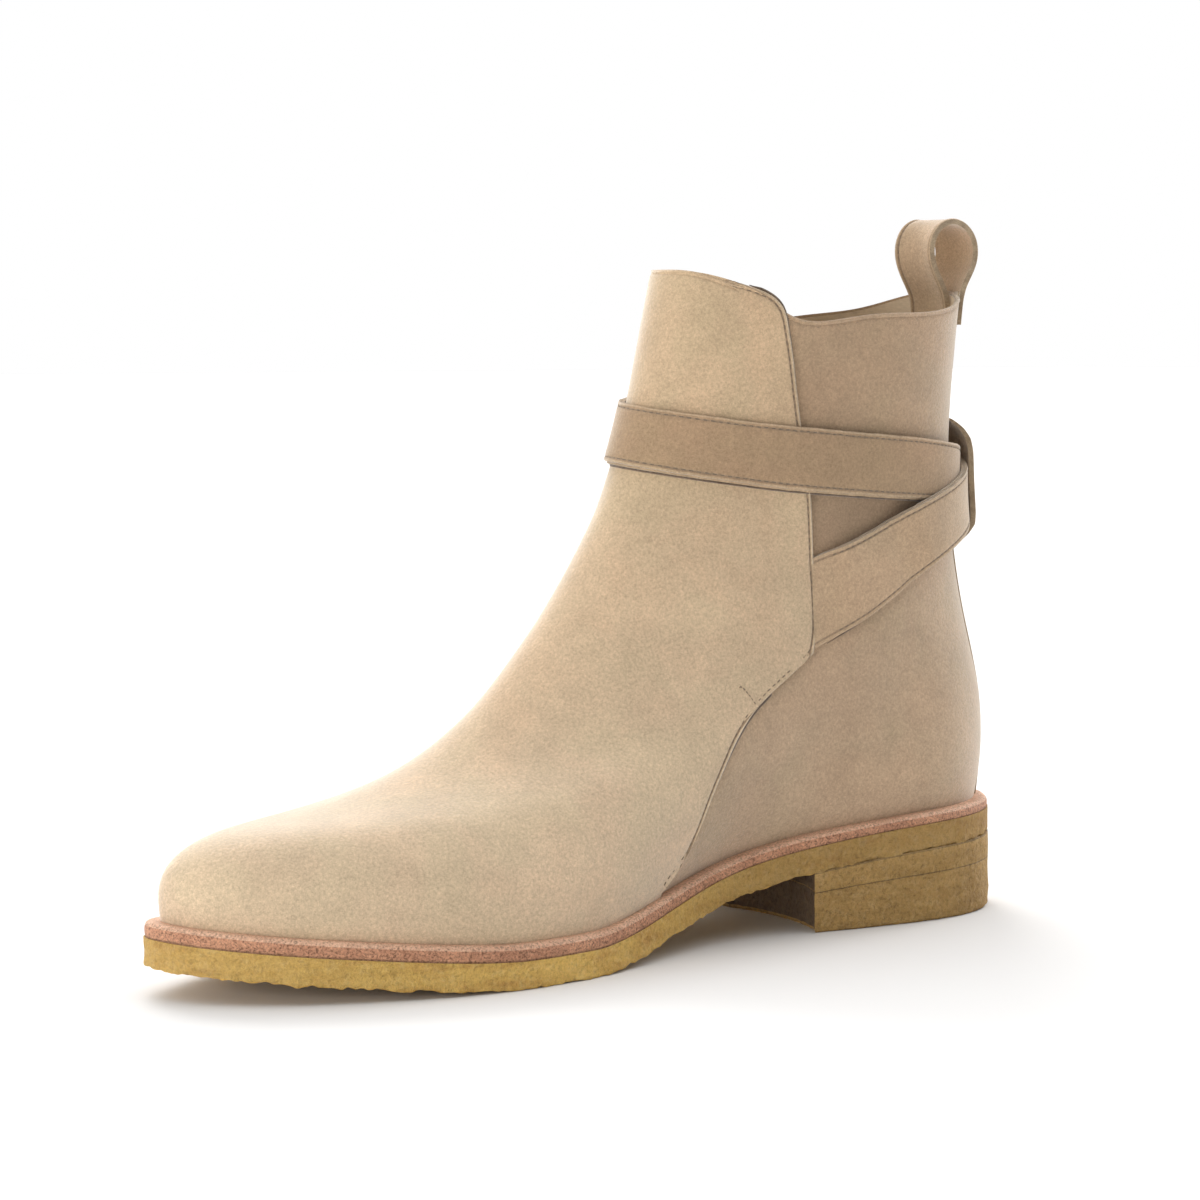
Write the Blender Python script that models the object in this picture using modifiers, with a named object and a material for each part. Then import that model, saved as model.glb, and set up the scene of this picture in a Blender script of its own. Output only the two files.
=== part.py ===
"""Jodhpur boot, right foot: suede ankle boot on a crepe rubber sole.

Frame: +Z up, sole standing on z = 0, heel towards +X, toe towards -X,
medial (inner) side towards -Y. The origin lies on the floor under the middle
of the boot's box. Sizes are in millimetres here and turned into metres when a
mesh is made.

Every form is worked out from one last surface, surf(t, v):
  t  0 at the feather edge (where upper meets welt) up to 1 at the top line
  v  once round the boot, 0 heel back, 0.25 inner side, 0.5 front, 0.75 outer side
"""
import bpy
import bmesh
import math
import numpy as np
from mathutils import Matrix, Vector

MM = 0.001

# ------------------------------------------------------------ driving sizes
LENGTH = 300.0          # outsole, heel to toe
OUTSOLE_T = 8.0         # crepe outsole
MIDSOLE_T = 2.9         # leather midsole
GAP = 0.3               # left between pieces that touch
WALL_T = 2.4            # suede and lining together
INSOLE_T = 3.0
INSOLE_INSET = 3.5      # insole edge inside the feather edge
HEEL_LENGTH = 88.0      # heel back to breast, at the edge
HEEL_HOLLOW = 9.0       # how far the breast curves back at its middle
STRAP_T = 2.2
KEEPER_T = 1.8
TAB_T = 1.8
TAB_HALF_WIDTH = 9.0
FEATHER_RISE = OUTSOLE_T + MIDSOLE_T + 2 * GAP
CENTRE_X = 149.9        # heel back to the middle of the boot's box
CENTRE_Y = 2.3          # the last's middle plane to the middle of the box

# Bottom of the outsole above the floor, by share of the length from the heel.
SOLE_PROFILE = [
    # share, height
    (0.00, 24.0), (0.12, 23.0), (0.25, 20.0), (0.33, 16.6), (0.42, 11.2), (0.52, 4.2),
    (0.60, 0.1), (0.66, -0.3), (0.72, 0.3), (0.82, 2.9), (0.92, 5.9), (1.00, 8.6),
]

# Margin of the sole outside the feather edge, by share of the length.
MARGIN = [(0.00, 2.8), (0.20, 3.0), (0.50, 3.6), (0.80, 4.4), (1.00, 4.6)]

# The last, one row a section. back and front give the section's two ends in
# the middle plane (x, z). i0..i7 and o0..o7 are the half widths on the inner
# and the outer side at the stations below. round_back and round_front are the
# shares of the section that its ends take to round off.
STATIONS = [0.0, 0.12, 0.26, 0.40, 0.54, 0.68, 0.84, 1.0]
LAST = [
    # t    back_x back_z front_x front_z   i0   i1   i2   i3   i4   i5   i6   i7     o0   o1   o2   o3   o4   o5   o6   o7   round_back round_front
    (0.00,  -2.8,  35.5, -295.4,  19.5,  28.0, 32.0, 28.5, 25.8, 38.3, 47.2, 43.9, 37.6,  23.5, 33.5, 37.4, 34.5, 38.2, 42.4, 30.8, 22.4,  .15, .40),
    (0.10,  -0.8,  46.0, -294.8,  34.0,  30.9, 35.0, 31.9, 31.6, 42.3, 49.3, 44.7, 37.5,  27.5, 35.0, 38.0, 37.0, 41.0, 43.9, 33.1, 21.0,  .18, .40),
    (0.20,   0.5,  58.0, -279.5,  43.2,  30.8, 34.2, 32.5, 34.0, 41.1, 44.9, 39.4, 32.9,  28.8, 34.0, 36.5, 37.0, 39.8, 37.9, 28.6, 18.3,  .20, .42),
    (0.31,  -0.3,  72.0, -250.5,  47.0,  29.5, 32.3, 32.3, 34.0, 38.0, 39.1, 34.2, 28.6,  28.5, 32.4, 34.3, 35.5, 36.8, 34.3, 27.4, 19.0,  .24, .49),
    (0.42,  -3.7,  88.0, -215.0,  57.5,  27.9, 29.5, 31.1, 32.9, 34.3, 33.8, 30.2, 24.6,  27.7, 30.4, 32.8, 34.1, 34.2, 32.3, 27.4, 20.9,  .30, .545),
    (0.54,  -7.6, 106.0, -183.5,  79.5,  26.6, 27.7, 29.6, 31.0, 31.3, 29.8, 26.8, 22.8,  26.7, 28.5, 31.0, 32.3, 32.2, 30.2, 26.6, 22.8,  .36, .56),
    (0.66, -11.0, 126.0, -157.2, 110.5,  26.1, 27.6, 29.0, 30.0, 29.9, 28.2, 25.9, 23.2,  26.1, 27.6, 29.0, 30.2, 30.2, 28.6, 25.5, 23.0,  .42, .54),
    (0.78, -12.5, 148.0, -139.5, 142.5,  27.0, 28.5, 29.4, 29.9, 29.3, 27.8, 26.0, 24.0,  27.0, 28.5, 29.4, 29.9, 29.3, 27.8, 25.8, 23.9,  .46, .52),
    (0.89, -12.0, 170.0, -130.0, 173.0,  28.0, 29.4, 30.3, 30.7, 29.7, 28.2, 26.6, 25.0,  28.0, 29.4, 30.3, 30.7, 29.7, 28.2, 26.5, 25.0,  .46, .50),
    (1.00, -10.0, 192.0, -122.8, 202.2,  29.0, 30.3, 31.1, 31.4, 30.4, 29.0, 27.4, 26.0,  29.0, 30.3, 31.0, 31.2, 30.1, 29.0, 27.3, 25.8,  .46, .50),
]

# Height of the top line round the boot: the front flap stands higher than the quarters.
TOP_LINE = [
    # v, height
    (0.00, 197.0), (0.06, 195.0), (0.12, 191.5), (0.18, 189.5), (0.25, 188.5), (0.325, 188.5),
    (0.345, 192.0), (0.37, 195.5), (0.40, 198.5), (0.44, 201.3), (0.50, 202.2), (0.60, 202.2),
    (0.67, 201.0), (0.71, 198.0), (0.735, 193.5), (0.76, 189.5), (0.82, 189.0), (0.88, 191.0),
    (0.94, 195.0), (1.00, 197.0),
]

# The two straps. v runs on past 1 or below 0 as a strap goes round the heel.
# mid is the height of its middle line, width is measured across it, and lift
# is its inner face's distance from the upper.
WRAP_STRAP = [
    # v      mid   width  lift
    (0.772,  99.0, 27.0, 0.35), (0.810, 105.5, 25.0, 0.35), (0.860, 115.8, 22.5, 0.35),
    (0.912, 124.0, 20.5, 0.35), (0.950, 128.7, 19.3, 0.35), (1.000, 133.2, 18.5, 0.35),
    (1.050, 136.8, 18.2, 0.35), (1.120, 139.9, 18.3, 0.35), (1.200, 142.3, 18.7, 0.35),
    (1.290, 145.2, 19.0, 0.35), (1.380, 148.7, 18.5, 0.35), (1.450, 151.1, 18.2, 0.35),
    (1.500, 152.2, 18.2, 0.35), (1.560, 153.0, 18.2, 0.35), (1.620, 154.3, 18.2, 0.35),
    (1.680, 155.8, 18.2, 0.35), (1.7010, 156.2, 18.2, 0.35), (1.7083, 156.2, 18.2, 0.70),
    (1.7155, 156.1, 18.2, 2.90), (1.7230, 156.1, 18.2, 5.15), (1.7295, 156.0, 18.2, 5.45),
    (1.7370, 156.0, 18.2, 4.25), (1.7460, 155.9, 18.2, 2.95), (1.760, 155.8, 18.2, 2.90),
    (1.790, 155.6, 18.2, 2.90), (1.826, 155.7, 18.2, 2.90), (1.840, 155.9, 16.4, 2.90),
    (1.850, 156.1, 12.8, 2.90), (1.857, 156.2, 7.0, 2.90),
]
BUCKLE_STRAP = [
    # v       mid   width  lift
    (0.246, 101.2, 26.0, 0.35), (0.221, 106.5, 24.5, 0.35), (0.200, 111.3, 22.9, 0.35),
    (0.182, 115.6, 21.6, 0.35), (0.160, 120.4, 20.4, 2.50), (0.145, 122.8, 19.9, 2.90), (0.120, 126.0, 19.2, 2.90),
    (0.080, 130.0, 18.6, 2.90), (0.040, 133.1, 18.3, 2.90), (0.000, 135.6, 18.2, 2.90),
    (-0.040, 137.7, 18.2, 2.90), (-0.080, 139.4, 18.2, 2.90), (-0.108, 140.9, 18.2, 2.90),
    (-0.145, 143.5, 18.2, 0.35), (-0.175, 146.3, 18.2, 0.35), (-0.210, 149.4, 18.2, 0.35),
    (-0.245, 152.7, 18.2, 0.35), (-0.268, 154.6, 18.2, 0.35),
]

# Keeper: a belt loop over both straps at the heel's back. height, lift of its inner face.
KEEPER_HALF_WIDTH = 10.0
KEEPER = [
    # height, lift
    (111.5, 0.35), (114.2, 0.35), (116.0, 1.8), (118.3, 4.2), (121.5, 5.55), (130.0, 5.6),
    (139.0, 5.6), (148.5, 5.55), (151.4, 3.6), (153.6, 1.3), (155.4, 0.35), (158.5, 0.35),
]

# Pull loop at the heel's back, from the outside leg over the top line to the
# inside leg. height, distance behind the upper's outer face.
PULL_LOOP = [
    (186.0, 0.35), (190.5, 0.35), (196.5, 0.9), (201.5, 3.4), (207.0, 6.0),
    (212.5, 5.6), (216.5, 2.2), (217.8, -2.8), (215.5, -7.8), (210.0, -10.2), (203.5, -8.6),
    (197.5, -5.0), (192.0, -3.0), (184.0, -2.8), (176.0, -2.8),
]

# Buckle, seated on the outer side.
BUCKLE_X = -82.0        # middle, from the heel back
BUCKLE_Z = 156.1        # middle, above the floor
BUCKLE_LONG = 21.0      # along the strap
BUCKLE_WIDE = 26.5      # across the strap
BUCKLE_T = 2.6
BUCKLE_BAR = 2.2        # width of its bars
BUCKLE_RISE = 0.8       # degrees it climbs to the front
BUCKLE_LIFT_FRONT = 3.0 # underside of the front bar above the upper
BUCKLE_LIFT_REAR = 5.7  # underside of the rear bar above the upper
PRONG_D = 2.0


# ------------------------------------------------------------ the last
def spline(knots, values):
    """Natural cubic spline through rows of values at the knots."""
    k = np.asarray(knots, float)
    v = np.asarray(values, float)
    n = len(k)
    h = np.diff(k)
    a = np.zeros((n, n))
    b = np.zeros(v.shape)
    a[0, 0] = a[-1, -1] = 1.0
    for i in range(1, n - 1):
        a[i, i - 1], a[i, i], a[i, i + 1] = h[i - 1], 2 * (h[i - 1] + h[i]), h[i]
        b[i] = 6 * ((v[i + 1] - v[i]) / h[i] - (v[i] - v[i - 1]) / h[i - 1])
    m = np.linalg.solve(a, b)

    def f(s):
        s = np.asarray(s, float)
        j = np.clip(np.searchsorted(k, s, side="right") - 1, 0, n - 2)
        hj = h[j]
        p = (s - k[j]) / hj
        q = 1 - p
        if v.ndim > 1:
            hj, p, q = hj[..., None], p[..., None], q[..., None]
        return q * v[j] + p * v[j + 1] + ((q**3 - q) * m[j] + (p**3 - p) * m[j + 1]) * hj * hj / 6
    return f


def columns(table):
    return [np.array(c, float) for c in zip(*table)]


def rounding(u):
    u = np.clip(u, 0, 1)
    return np.sqrt(np.maximum(1 - (1 - u) ** 3, 0))


def smooth(x, a, b):
    k = np.clip((x - a) / (b - a), 0, 1)
    return k * k * (3 - 2 * k)


LAST_ROWS = np.array(LAST, float)
last_row = spline(LAST_ROWS[:, 0], LAST_ROWS[:, 1:])
station_weights = spline(STATIONS, np.eye(len(STATIONS)))
sole_curve = spline(*columns(SOLE_PROFILE))
top_line = spline(*columns(TOP_LINE))


def sole_z(x):
    """Underside of the outsole at x, flat on the floor under the ball."""
    return np.maximum(sole_curve(np.clip(-np.asarray(x, float) / LENGTH, 0, 1)), 0)


def surf(t, v):
    """Point of the last for arrays t and v."""
    t, v = np.broadcast_arrays(np.asarray(t, float), np.asarray(v, float))
    shape = t.shape
    t, v = t.ravel(), v.ravel() % 1.0
    r = last_row(t)
    bx, bz, fx, fz, nb, nf = r[:, 0], r[:, 1], r[:, 2], r[:, 3], r[:, 20], r[:, 21]
    inner = v <= 0.5
    w = np.where(inner, 2 * v, 2 - 2 * v)
    u = (1 - np.cos(np.pi * w)) / 2
    x = bx + (fx - bx) * u
    z = bz + (fz - bz) * u
    b0x, b0z, f0x, f0z = LAST_ROWS[0, 1:5]
    low = 1 - smooth(t, 0.0, 0.35)
    z = z + low * (sole_z(b0x + (f0x - b0x) * u) + FEATHER_RISE - (b0z + (f0z - b0z) * u))
    e = rounding(u / nb) * rounding((1 - u) / nf)
    k = station_weights(u)
    y = np.where(inner, -(k * r[:, 4:12]).sum(1), (k * r[:, 12:20]).sum(1)) * e
    return np.stack([x, y, z], -1).reshape(shape + (3,))


def normal(t, v):
    """Outward unit normal of the last."""
    d = 2e-3
    a = surf(t, np.asarray(v) + d) - surf(t, np.asarray(v) - d)
    b = surf(np.asarray(t) + d, v) - surf(np.asarray(t) - d, v)
    n = np.cross(b, a)
    return n / np.linalg.norm(n, axis=-1, keepdims=True)


def at_height(v, z):
    """t at which the last reaches height z, for arrays v and z."""
    v, z = np.broadcast_arrays(np.asarray(v, float), np.asarray(z, float))
    ts = np.linspace(0.0, 1.15, 93)
    out = np.empty(v.shape)
    for i in np.ndindex(v.shape):
        out[i] = np.interp(z[i], surf(ts, np.full(ts.shape, v[i]))[:, 2], ts)
    return out


def skin(v, z, lift=0.0):
    """Point at height z round v, lifted off the upper."""
    t = at_height(v, z)
    return surf(t, v) + normal(t, v) * np.asarray(lift, float)[..., None]


def edge(v, grow):
    """Outline round the feather edge, grown by the given amount (x, y)."""
    v = np.asarray(v, float)
    p = surf(np.zeros(v.shape), v)[:, :2]
    d = 1e-3
    t = surf(np.zeros(v.shape), v + d)[:, :2] - surf(np.zeros(v.shape), v - d)[:, :2]
    t /= np.linalg.norm(t, axis=1, keepdims=True)
    n = np.stack([-t[:, 1], t[:, 0]], 1)
    return p + n * np.broadcast_to(grow, v.shape)[:, None]


def margin(v):
    share, wide = columns(MARGIN)
    x = surf(np.zeros(np.shape(v)), v)[..., 0]
    return np.interp(-x / LENGTH, share, wide)


# ------------------------------------------------------------ Blender helpers
for old in list(bpy.data.objects):
    bpy.data.objects.remove(old, do_unlink=True)

boot = bpy.data.collections.new("jodhpur_boot")
cutters = bpy.data.collections.new("cutters")
bpy.context.scene.collection.children.link(boot)
bpy.context.scene.collection.children.link(cutters)


def material(name, colour, roughness, metallic=0.0):
    m = bpy.data.materials.new(name)
    m.use_nodes = True
    p = m.node_tree.nodes["Principled BSDF"]
    p.inputs["Base Color"].default_value = (*colour, 1.0)
    p.inputs["Roughness"].default_value = roughness
    p.inputs["Metallic"].default_value = metallic
    return m


SUEDE = material("sand_suede", (0.62, 0.50, 0.36), 0.95)
CREPE = material("crepe_rubber", (0.60, 0.38, 0.12), 0.75)
LEATHER = material("natural_leather", (0.70, 0.42, 0.27), 0.65)
LINING = material("insole_leather", (0.66, 0.52, 0.36), 0.7)
BRASS = material("antique_brass", (0.42, 0.34, 0.14), 0.35, 1.0)


def placed(points):
    """Points in the last's own frame, moved over the origin and turned into metres."""
    return (np.asarray(points, float) + np.array([CENTRE_X, CENTRE_Y, 0.0])) * MM


def add_mesh(name, points, faces, mat, collection=boot, sharp=30):
    mesh = bpy.data.meshes.new(name)
    mesh.from_pydata([tuple(p) for p in placed(points)], [], [tuple(f) for f in faces])
    mesh.validate()
    bm = bmesh.new()
    bm.from_mesh(mesh)
    bmesh.ops.recalc_face_normals(bm, faces=bm.faces)
    bm.to_mesh(mesh)
    bm.free()
    mesh.materials.append(mat)
    ob = bpy.data.objects.new(name, mesh)
    collection.objects.link(ob)
    mesh.shade_smooth()
    mesh.set_sharp_from_angle(angle=math.radians(sharp))
    return ob


def solidify(ob, thickness, offset):
    mod = ob.modifiers.new("thickness", "SOLIDIFY")
    mod.thickness = thickness * MM
    mod.offset = offset
    mod.use_even_offset = True
    mod.use_quality_normals = True
    return mod


def grid_faces(rows, cols, closed=False):
    n = cols if closed else cols - 1
    return [(i * cols + j, i * cols + (j + 1) % cols, (i + 1) * cols + (j + 1) % cols, (i + 1) * cols + j)
            for i in range(rows - 1) for j in range(n)]


def sheet(name, grid, mat, closed=False, outward=None):
    """Open surface from a rows x columns x 3 grid. Given the outward normals of
    the upper at the grid's points, the faces are turned to agree with them."""
    rows, cols = grid.shape[:2]
    faces = grid_faces(rows, cols, closed)
    if outward is not None:
        a = grid[1:, :-1] - grid[:-1, :-1]
        b = grid[:-1, 1:] - grid[:-1, :-1]
        if (np.cross(b, a) * outward[:-1, :-1]).sum() < 0:
            faces = [f[::-1] for f in faces]
    mesh = bpy.data.meshes.new(name)
    mesh.from_pydata([tuple(p) for p in placed(grid.reshape(-1, 3))], [], faces)
    mesh.materials.append(mat)
    ob = bpy.data.objects.new(name, mesh)
    boot.objects.link(ob)
    mesh.shade_smooth()
    mesh.set_sharp_from_angle(angle=math.radians(40))
    return ob


def slab(name, left, right, bottom, top, lanes, mat, pull=None):
    """Plate between two surfaces. left and right are its edges' (x, y) from heel
    to toe, joined by rungs of the given number of lanes, bottom and top give
    heights from x, and pull moves a rung's inner points in x."""
    n = len(left)
    s = np.linspace(0, 1, lanes + 1)
    rungs = left[:, None] * (1 - s)[None, :, None] + right[:, None] * s[None, :, None]
    if pull is not None:
        rungs[:, :, 0] += pull[:, None] * (4 * s * (1 - s))[None, :]
    flat = rungs.reshape(-1, 2)
    pts = [(x, y, float(bottom(x))) for x, y in flat] + [(x, y, float(top(x))) for x, y in flat]
    k = lanes + 1
    m = n * k
    faces = []
    for a, b, c, d in grid_faces(n, k):
        faces.append((a, b, c, d))
        faces.append((d + m, c + m, b + m, a + m))
    rim = [j for j in range(k)] + [i * k + lanes for i in range(1, n)]
    rim += [(n - 1) * k + j for j in range(lanes - 1, -1, -1)] + [i * k for i in range(n - 2, 0, -1)]
    for i, a in enumerate(rim):
        b = rim[(i + 1) % len(rim)]
        faces.append((a, b, b + m, a + m))
    return add_mesh(name, pts, faces, mat)


def path_rows(table, step):
    """Rows of a strap's table, with more between them where they are over a step of v apart."""
    v, mid, width, lift = columns(table)
    run = np.abs(v - v[0])
    s = [run[0]]
    for a, b in zip(run[:-1], run[1:]):
        n = max(1, int(round((b - a) / step)))
        s += list(a + (b - a) * np.arange(1, n + 1) / n)
    s = np.array(s)
    turn = np.sign(v[-1] - v[0])
    return v[0] + turn * s, spline(run, mid)(s), np.interp(s, run, width), np.interp(s, run, lift)


def nearest_v(point, v, reach=0.075):
    """v near the given one at which the last, at the point's height, passes closest to it."""
    a = v + np.linspace(-reach, reach, 31)
    p = surf(at_height(a, np.full(a.shape, point[2])), a)[:, :2]
    d = np.diff(p, axis=0)
    k = np.clip(((point[:2] - p[:-1]) * d).sum(1) / (d * d).sum(1), 0, 1)
    miss = np.linalg.norm(p[:-1] + d * k[:, None] - point[:2], axis=1)
    i = int(miss.argmin())
    return a[i] + (a[i + 1] - a[i]) * k[i]


def band_grid(table, lanes, step):
    """Points of a strap's inner face, rows square to its middle line."""
    v, mid, width, lift = path_rows(table, step)
    t = at_height(v, mid)
    line, face = surf(t, v), normal(t, v)
    along = np.gradient(line, axis=0)
    across = np.cross(along, face)
    across /= np.linalg.norm(across, axis=1, keepdims=True)
    across *= np.sign(across[:, 2:])
    g = np.empty((len(v), lanes + 1, 3))
    for i in range(len(v)):
        for j in range(lanes + 1):
            q = line[i] + across[i] * width[i] * (j / lanes - 0.5)
            g[i, j] = skin(np.array([nearest_v(q, v[i])]), q[2:], lift[i:i + 1])[0]
    return g, np.repeat(face[:, None], lanes + 1, 1)


def band(name, table, lanes, step, thickness):
    grid, outward = band_grid(table, lanes, step)
    ob = sheet(name, grid, SUEDE, outward=outward)
    solidify(ob, thickness, 1.0)
    return ob


# ------------------------------------------------------------ sole
HALF = 34                                            # rungs from heel to toe
ring = (1 - np.cos(np.linspace(0.055, math.pi - 0.055, HALF))) / 2 * 0.5
inner_v = ring
outer_v = 1 - ring


def sole_edges(grow):
    left = edge(inner_v, margin(inner_v) + grow)
    right = edge(outer_v, margin(outer_v) + grow)
    return left, right


left, right = sole_edges(0.4)
slab("outsole", left, right, sole_z, lambda x: sole_z(x) + OUTSOLE_T, 4, CREPE)
left, right = sole_edges(0.0)
slab("midsole", left, right, lambda x: sole_z(x) + OUTSOLE_T + GAP,
     lambda x: sole_z(x) + OUTSOLE_T + GAP + MIDSOLE_T, 4, LEATHER)
left, right = edge(inner_v, -INSOLE_INSET), edge(outer_v, -INSOLE_INSET)
slab("insole", left, right, lambda x: sole_z(x) + FEATHER_RISE,
     lambda x: sole_z(x) + FEATHER_RISE + INSOLE_T, 4, LINING)


def edge_v_at(x, grow, side):
    """v on one side at which the grown outline reaches x."""
    a = np.linspace(0.02, 0.48, 300)
    v = a if side < 0 else 1 - a
    xs = edge(v, margin(v) + grow)[:, 0]
    return float(np.interp(-x, -xs, v))


steps = np.linspace(0, 1, 13) ** 0.8
va = edge_v_at(-HEEL_LENGTH, 0.6, -1)
vb = edge_v_at(-HEEL_LENGTH, 0.6, 1)
v_in = 0.018 + (va - 0.018) * steps
v_out = 0.982 + (vb - 0.982) * steps
slab("heel", edge(v_in, margin(v_in) + 0.6), edge(v_out, margin(v_out) + 0.6),
     lambda x: 0.0, lambda x: sole_z(x) - GAP, 6, CREPE, pull=HEEL_HOLLOW * steps ** 3)

# ------------------------------------------------------------ upper
ROWS, ROUND = 25, 56
vs = np.arange(ROUND) / ROUND
t_top = at_height(vs, top_line(vs))
share = np.linspace(0, 1, ROWS)
tt = share[:, None] * t_top[None, :]
vv = np.repeat(vs[None, :], ROWS, 0)
upper = sheet("upper", surf(tt, vv), SUEDE, closed=True, outward=normal(tt, vv))
solidify(upper, WALL_T, -1.0)

# ------------------------------------------------------------ straps, keeper, pull loop
wrap = band("wrap_strap", WRAP_STRAP, 3, 0.02, STRAP_T)
band("buckle_strap", BUCKLE_STRAP, 3, 0.02, STRAP_T)


def back_v(y, z):
    """v round the heel's back at which the last reaches y, at height z."""
    v = np.linspace(-0.13, 0.13, 53)
    pts = surf(at_height(v, np.full(v.shape, z)), v)
    return float(np.interp(-y, -pts[:, 1], v))


def back_strip(name, table, half, lanes, thickness, mat):
    zs, lifts = columns(table)
    fz = np.linspace(0, len(zs) - 1, 2 * len(zs) - 1)
    z = np.interp(fz, range(len(zs)), zs)
    lift = np.interp(fz, range(len(zs)), lifts)
    ys = np.linspace(-half, half, lanes + 1)
    g = np.empty((len(z), lanes + 1, 3))
    for i, (h, l) in enumerate(zip(z, lift)):
        v = np.array([back_v(y, h) for y in ys])
        g[i] = skin(v, np.full(v.shape, h), np.full(v.shape, l))
    ob = sheet(name, g, mat, outward=np.broadcast_to([1.0, 0.0, 0.0], g.shape))
    solidify(ob, thickness, 1.0)
    return ob


back_strip("keeper", KEEPER, KEEPER_HALF_WIDTH, 6, KEEPER_T, SUEDE)

zs, outs = columns(PULL_LOOP)
run = np.concatenate([[0], np.cumsum(np.hypot(np.diff(zs), np.diff(outs)))])
pull_path = spline(run, np.stack([zs, outs], 1))(np.linspace(0, run[-1], 30))
ys = np.linspace(-TAB_HALF_WIDTH, TAB_HALF_WIDTH, 7)
g = np.empty((len(pull_path), len(ys), 3))
for i, (h, out) in enumerate(pull_path):
    hh = min(h, 196.0)
    v = np.array([back_v(y, hh) for y in ys])
    base = skin(v, np.full(v.shape, hh), np.zeros(v.shape))
    mid = skin(np.array([0.0]), np.array([hh]), np.zeros(1))[0]
    g[i, :, 0] = base[:, 0] + out
    g[i, :, 1] = ys
    g[i, :, 2] = h
away = np.zeros(g.shape)
away[:8, :, 0] = 1.0
pull = sheet("pull_loop", g, SUEDE, outward=away)
solidify(pull, TAB_T, 1.0)

# ------------------------------------------------------------ buckle
a = np.linspace(0.60, 0.85, 126)
xs = surf(at_height(a, np.full(a.shape, BUCKLE_Z)), a)[:, 0]
buckle_v = float(np.interp(BUCKLE_X, xs, a))
seat_t = at_height(np.array([buckle_v]), np.array([BUCKLE_Z]))
seat = surf(seat_t, np.array([buckle_v]))[0]
out = normal(seat_t, np.array([buckle_v]))[0]
ahead = np.cross(out, [0, 0, 1.0])
ahead /= np.linalg.norm(ahead)
if ahead[0] > 0:
    ahead = -ahead
up = np.cross(ahead, out)
if up[2] < 0:
    up = -up
slope = math.radians(BUCKLE_RISE)
ahead, up = ahead * math.cos(slope) + up * math.sin(slope), up * math.cos(slope) - ahead * math.sin(slope)
tilt = math.atan2(BUCKLE_LIFT_REAR - BUCKLE_LIFT_FRONT, BUCKLE_LONG - BUCKLE_BAR)
ahead, out = ahead * math.cos(tilt) - out * math.sin(tilt), out * math.cos(tilt) + ahead * math.sin(tilt)
centre = seat + out * ((BUCKLE_LIFT_FRONT + BUCKLE_LIFT_REAR) / 2 + BUCKLE_T / 2)
axes = Matrix((ahead, up, out)).transposed()
if axes.determinant() < 0:
    axes = Matrix((ahead, -up, out)).transposed()
place = Matrix.Translation(Vector(placed(centre))) @ axes.to_4x4()


def block(name, size, at, mat=None, bevel=0.0, collection=boot):
    """A box in the buckle's own frame: along the strap, across it, outward."""
    bpy.ops.mesh.primitive_cube_add(size=1.0)
    ob = bpy.context.active_object
    ob.name = name
    for c in list(ob.users_collection):
        c.objects.unlink(ob)
    collection.objects.link(ob)
    ob.data.transform(Matrix.Diagonal(Vector((*[s * MM for s in size], 1.0))))
    ob.data.transform(Matrix.Translation(Vector([a * MM for a in at])))
    ob.matrix_world = place
    if bevel:
        mod = ob.modifiers.new("corners", "BEVEL")
        mod.width = bevel * MM
        mod.segments = 2
    if mat:
        ob.data.materials.append(mat)
    return ob


def cut(ob, cutter):
    cutter.hide_render = True
    cutter.display_type = "WIRE"
    mod = ob.modifiers.new("cut", "BOOLEAN")
    mod.operation = "DIFFERENCE"
    mod.object = cutter
    return mod


inner_long = (BUCKLE_LONG - 3 * BUCKLE_BAR) / 2
side = (inner_long + BUCKLE_BAR) / 2
frame = block("buckle_frame", (BUCKLE_LONG, BUCKLE_WIDE, BUCKLE_T), (0, 0, 0), BRASS, 0.7)
for k, sx in enumerate((-1, 1)):
    hole = block("frame_window_%d" % k, (inner_long, BUCKLE_WIDE - 2 * BUCKLE_BAR, 4 * BUCKLE_T),
                 (sx * side, 0, 0), collection=cutters)
    cut(frame, hole)
lower = block("bar_relief", (BUCKLE_BAR + 1.0, BUCKLE_WIDE - 2 * BUCKLE_BAR, BUCKLE_T),
              (0, 0, BUCKLE_T / 2 - 0.4), collection=cutters)
cut(frame, lower)


def rod(name, start, end, diameter, mat=None, collection=boot):
    a, b = Vector(start) * MM, Vector(end) * MM
    bpy.ops.mesh.primitive_cylinder_add(vertices=12, radius=diameter / 2 * MM, depth=(b - a).length)
    ob = bpy.context.active_object
    ob.name = name
    for c in list(ob.users_collection):
        c.objects.unlink(ob)
    collection.objects.link(ob)
    turn = (b - a).to_track_quat("Z", "Y").to_matrix().to_4x4()
    ob.data.transform(Matrix.Translation((a + b) / 2) @ turn)
    ob.matrix_world = place
    if mat:
        ob.data.materials.append(mat)
    ob.data.shade_smooth()
    ob.data.set_sharp_from_angle(angle=math.radians(40))
    return ob


prong_line = ((0.0, 0.0, 1.0), (BUCKLE_LONG / 2 + 0.4, 0.0, BUCKLE_T / 2 + GAP + PRONG_D / 2))
prong = rod("buckle_prong", *prong_line, PRONG_D, BRASS)
bore = rod("prong_hole", (-1.6, 0.0, 0.75), (BUCKLE_LONG / 2 - 1.5, 0.0, BUCKLE_T / 2 + 1.1), PRONG_D + 0.8, collection=cutters)
cut(wrap, bore)
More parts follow.
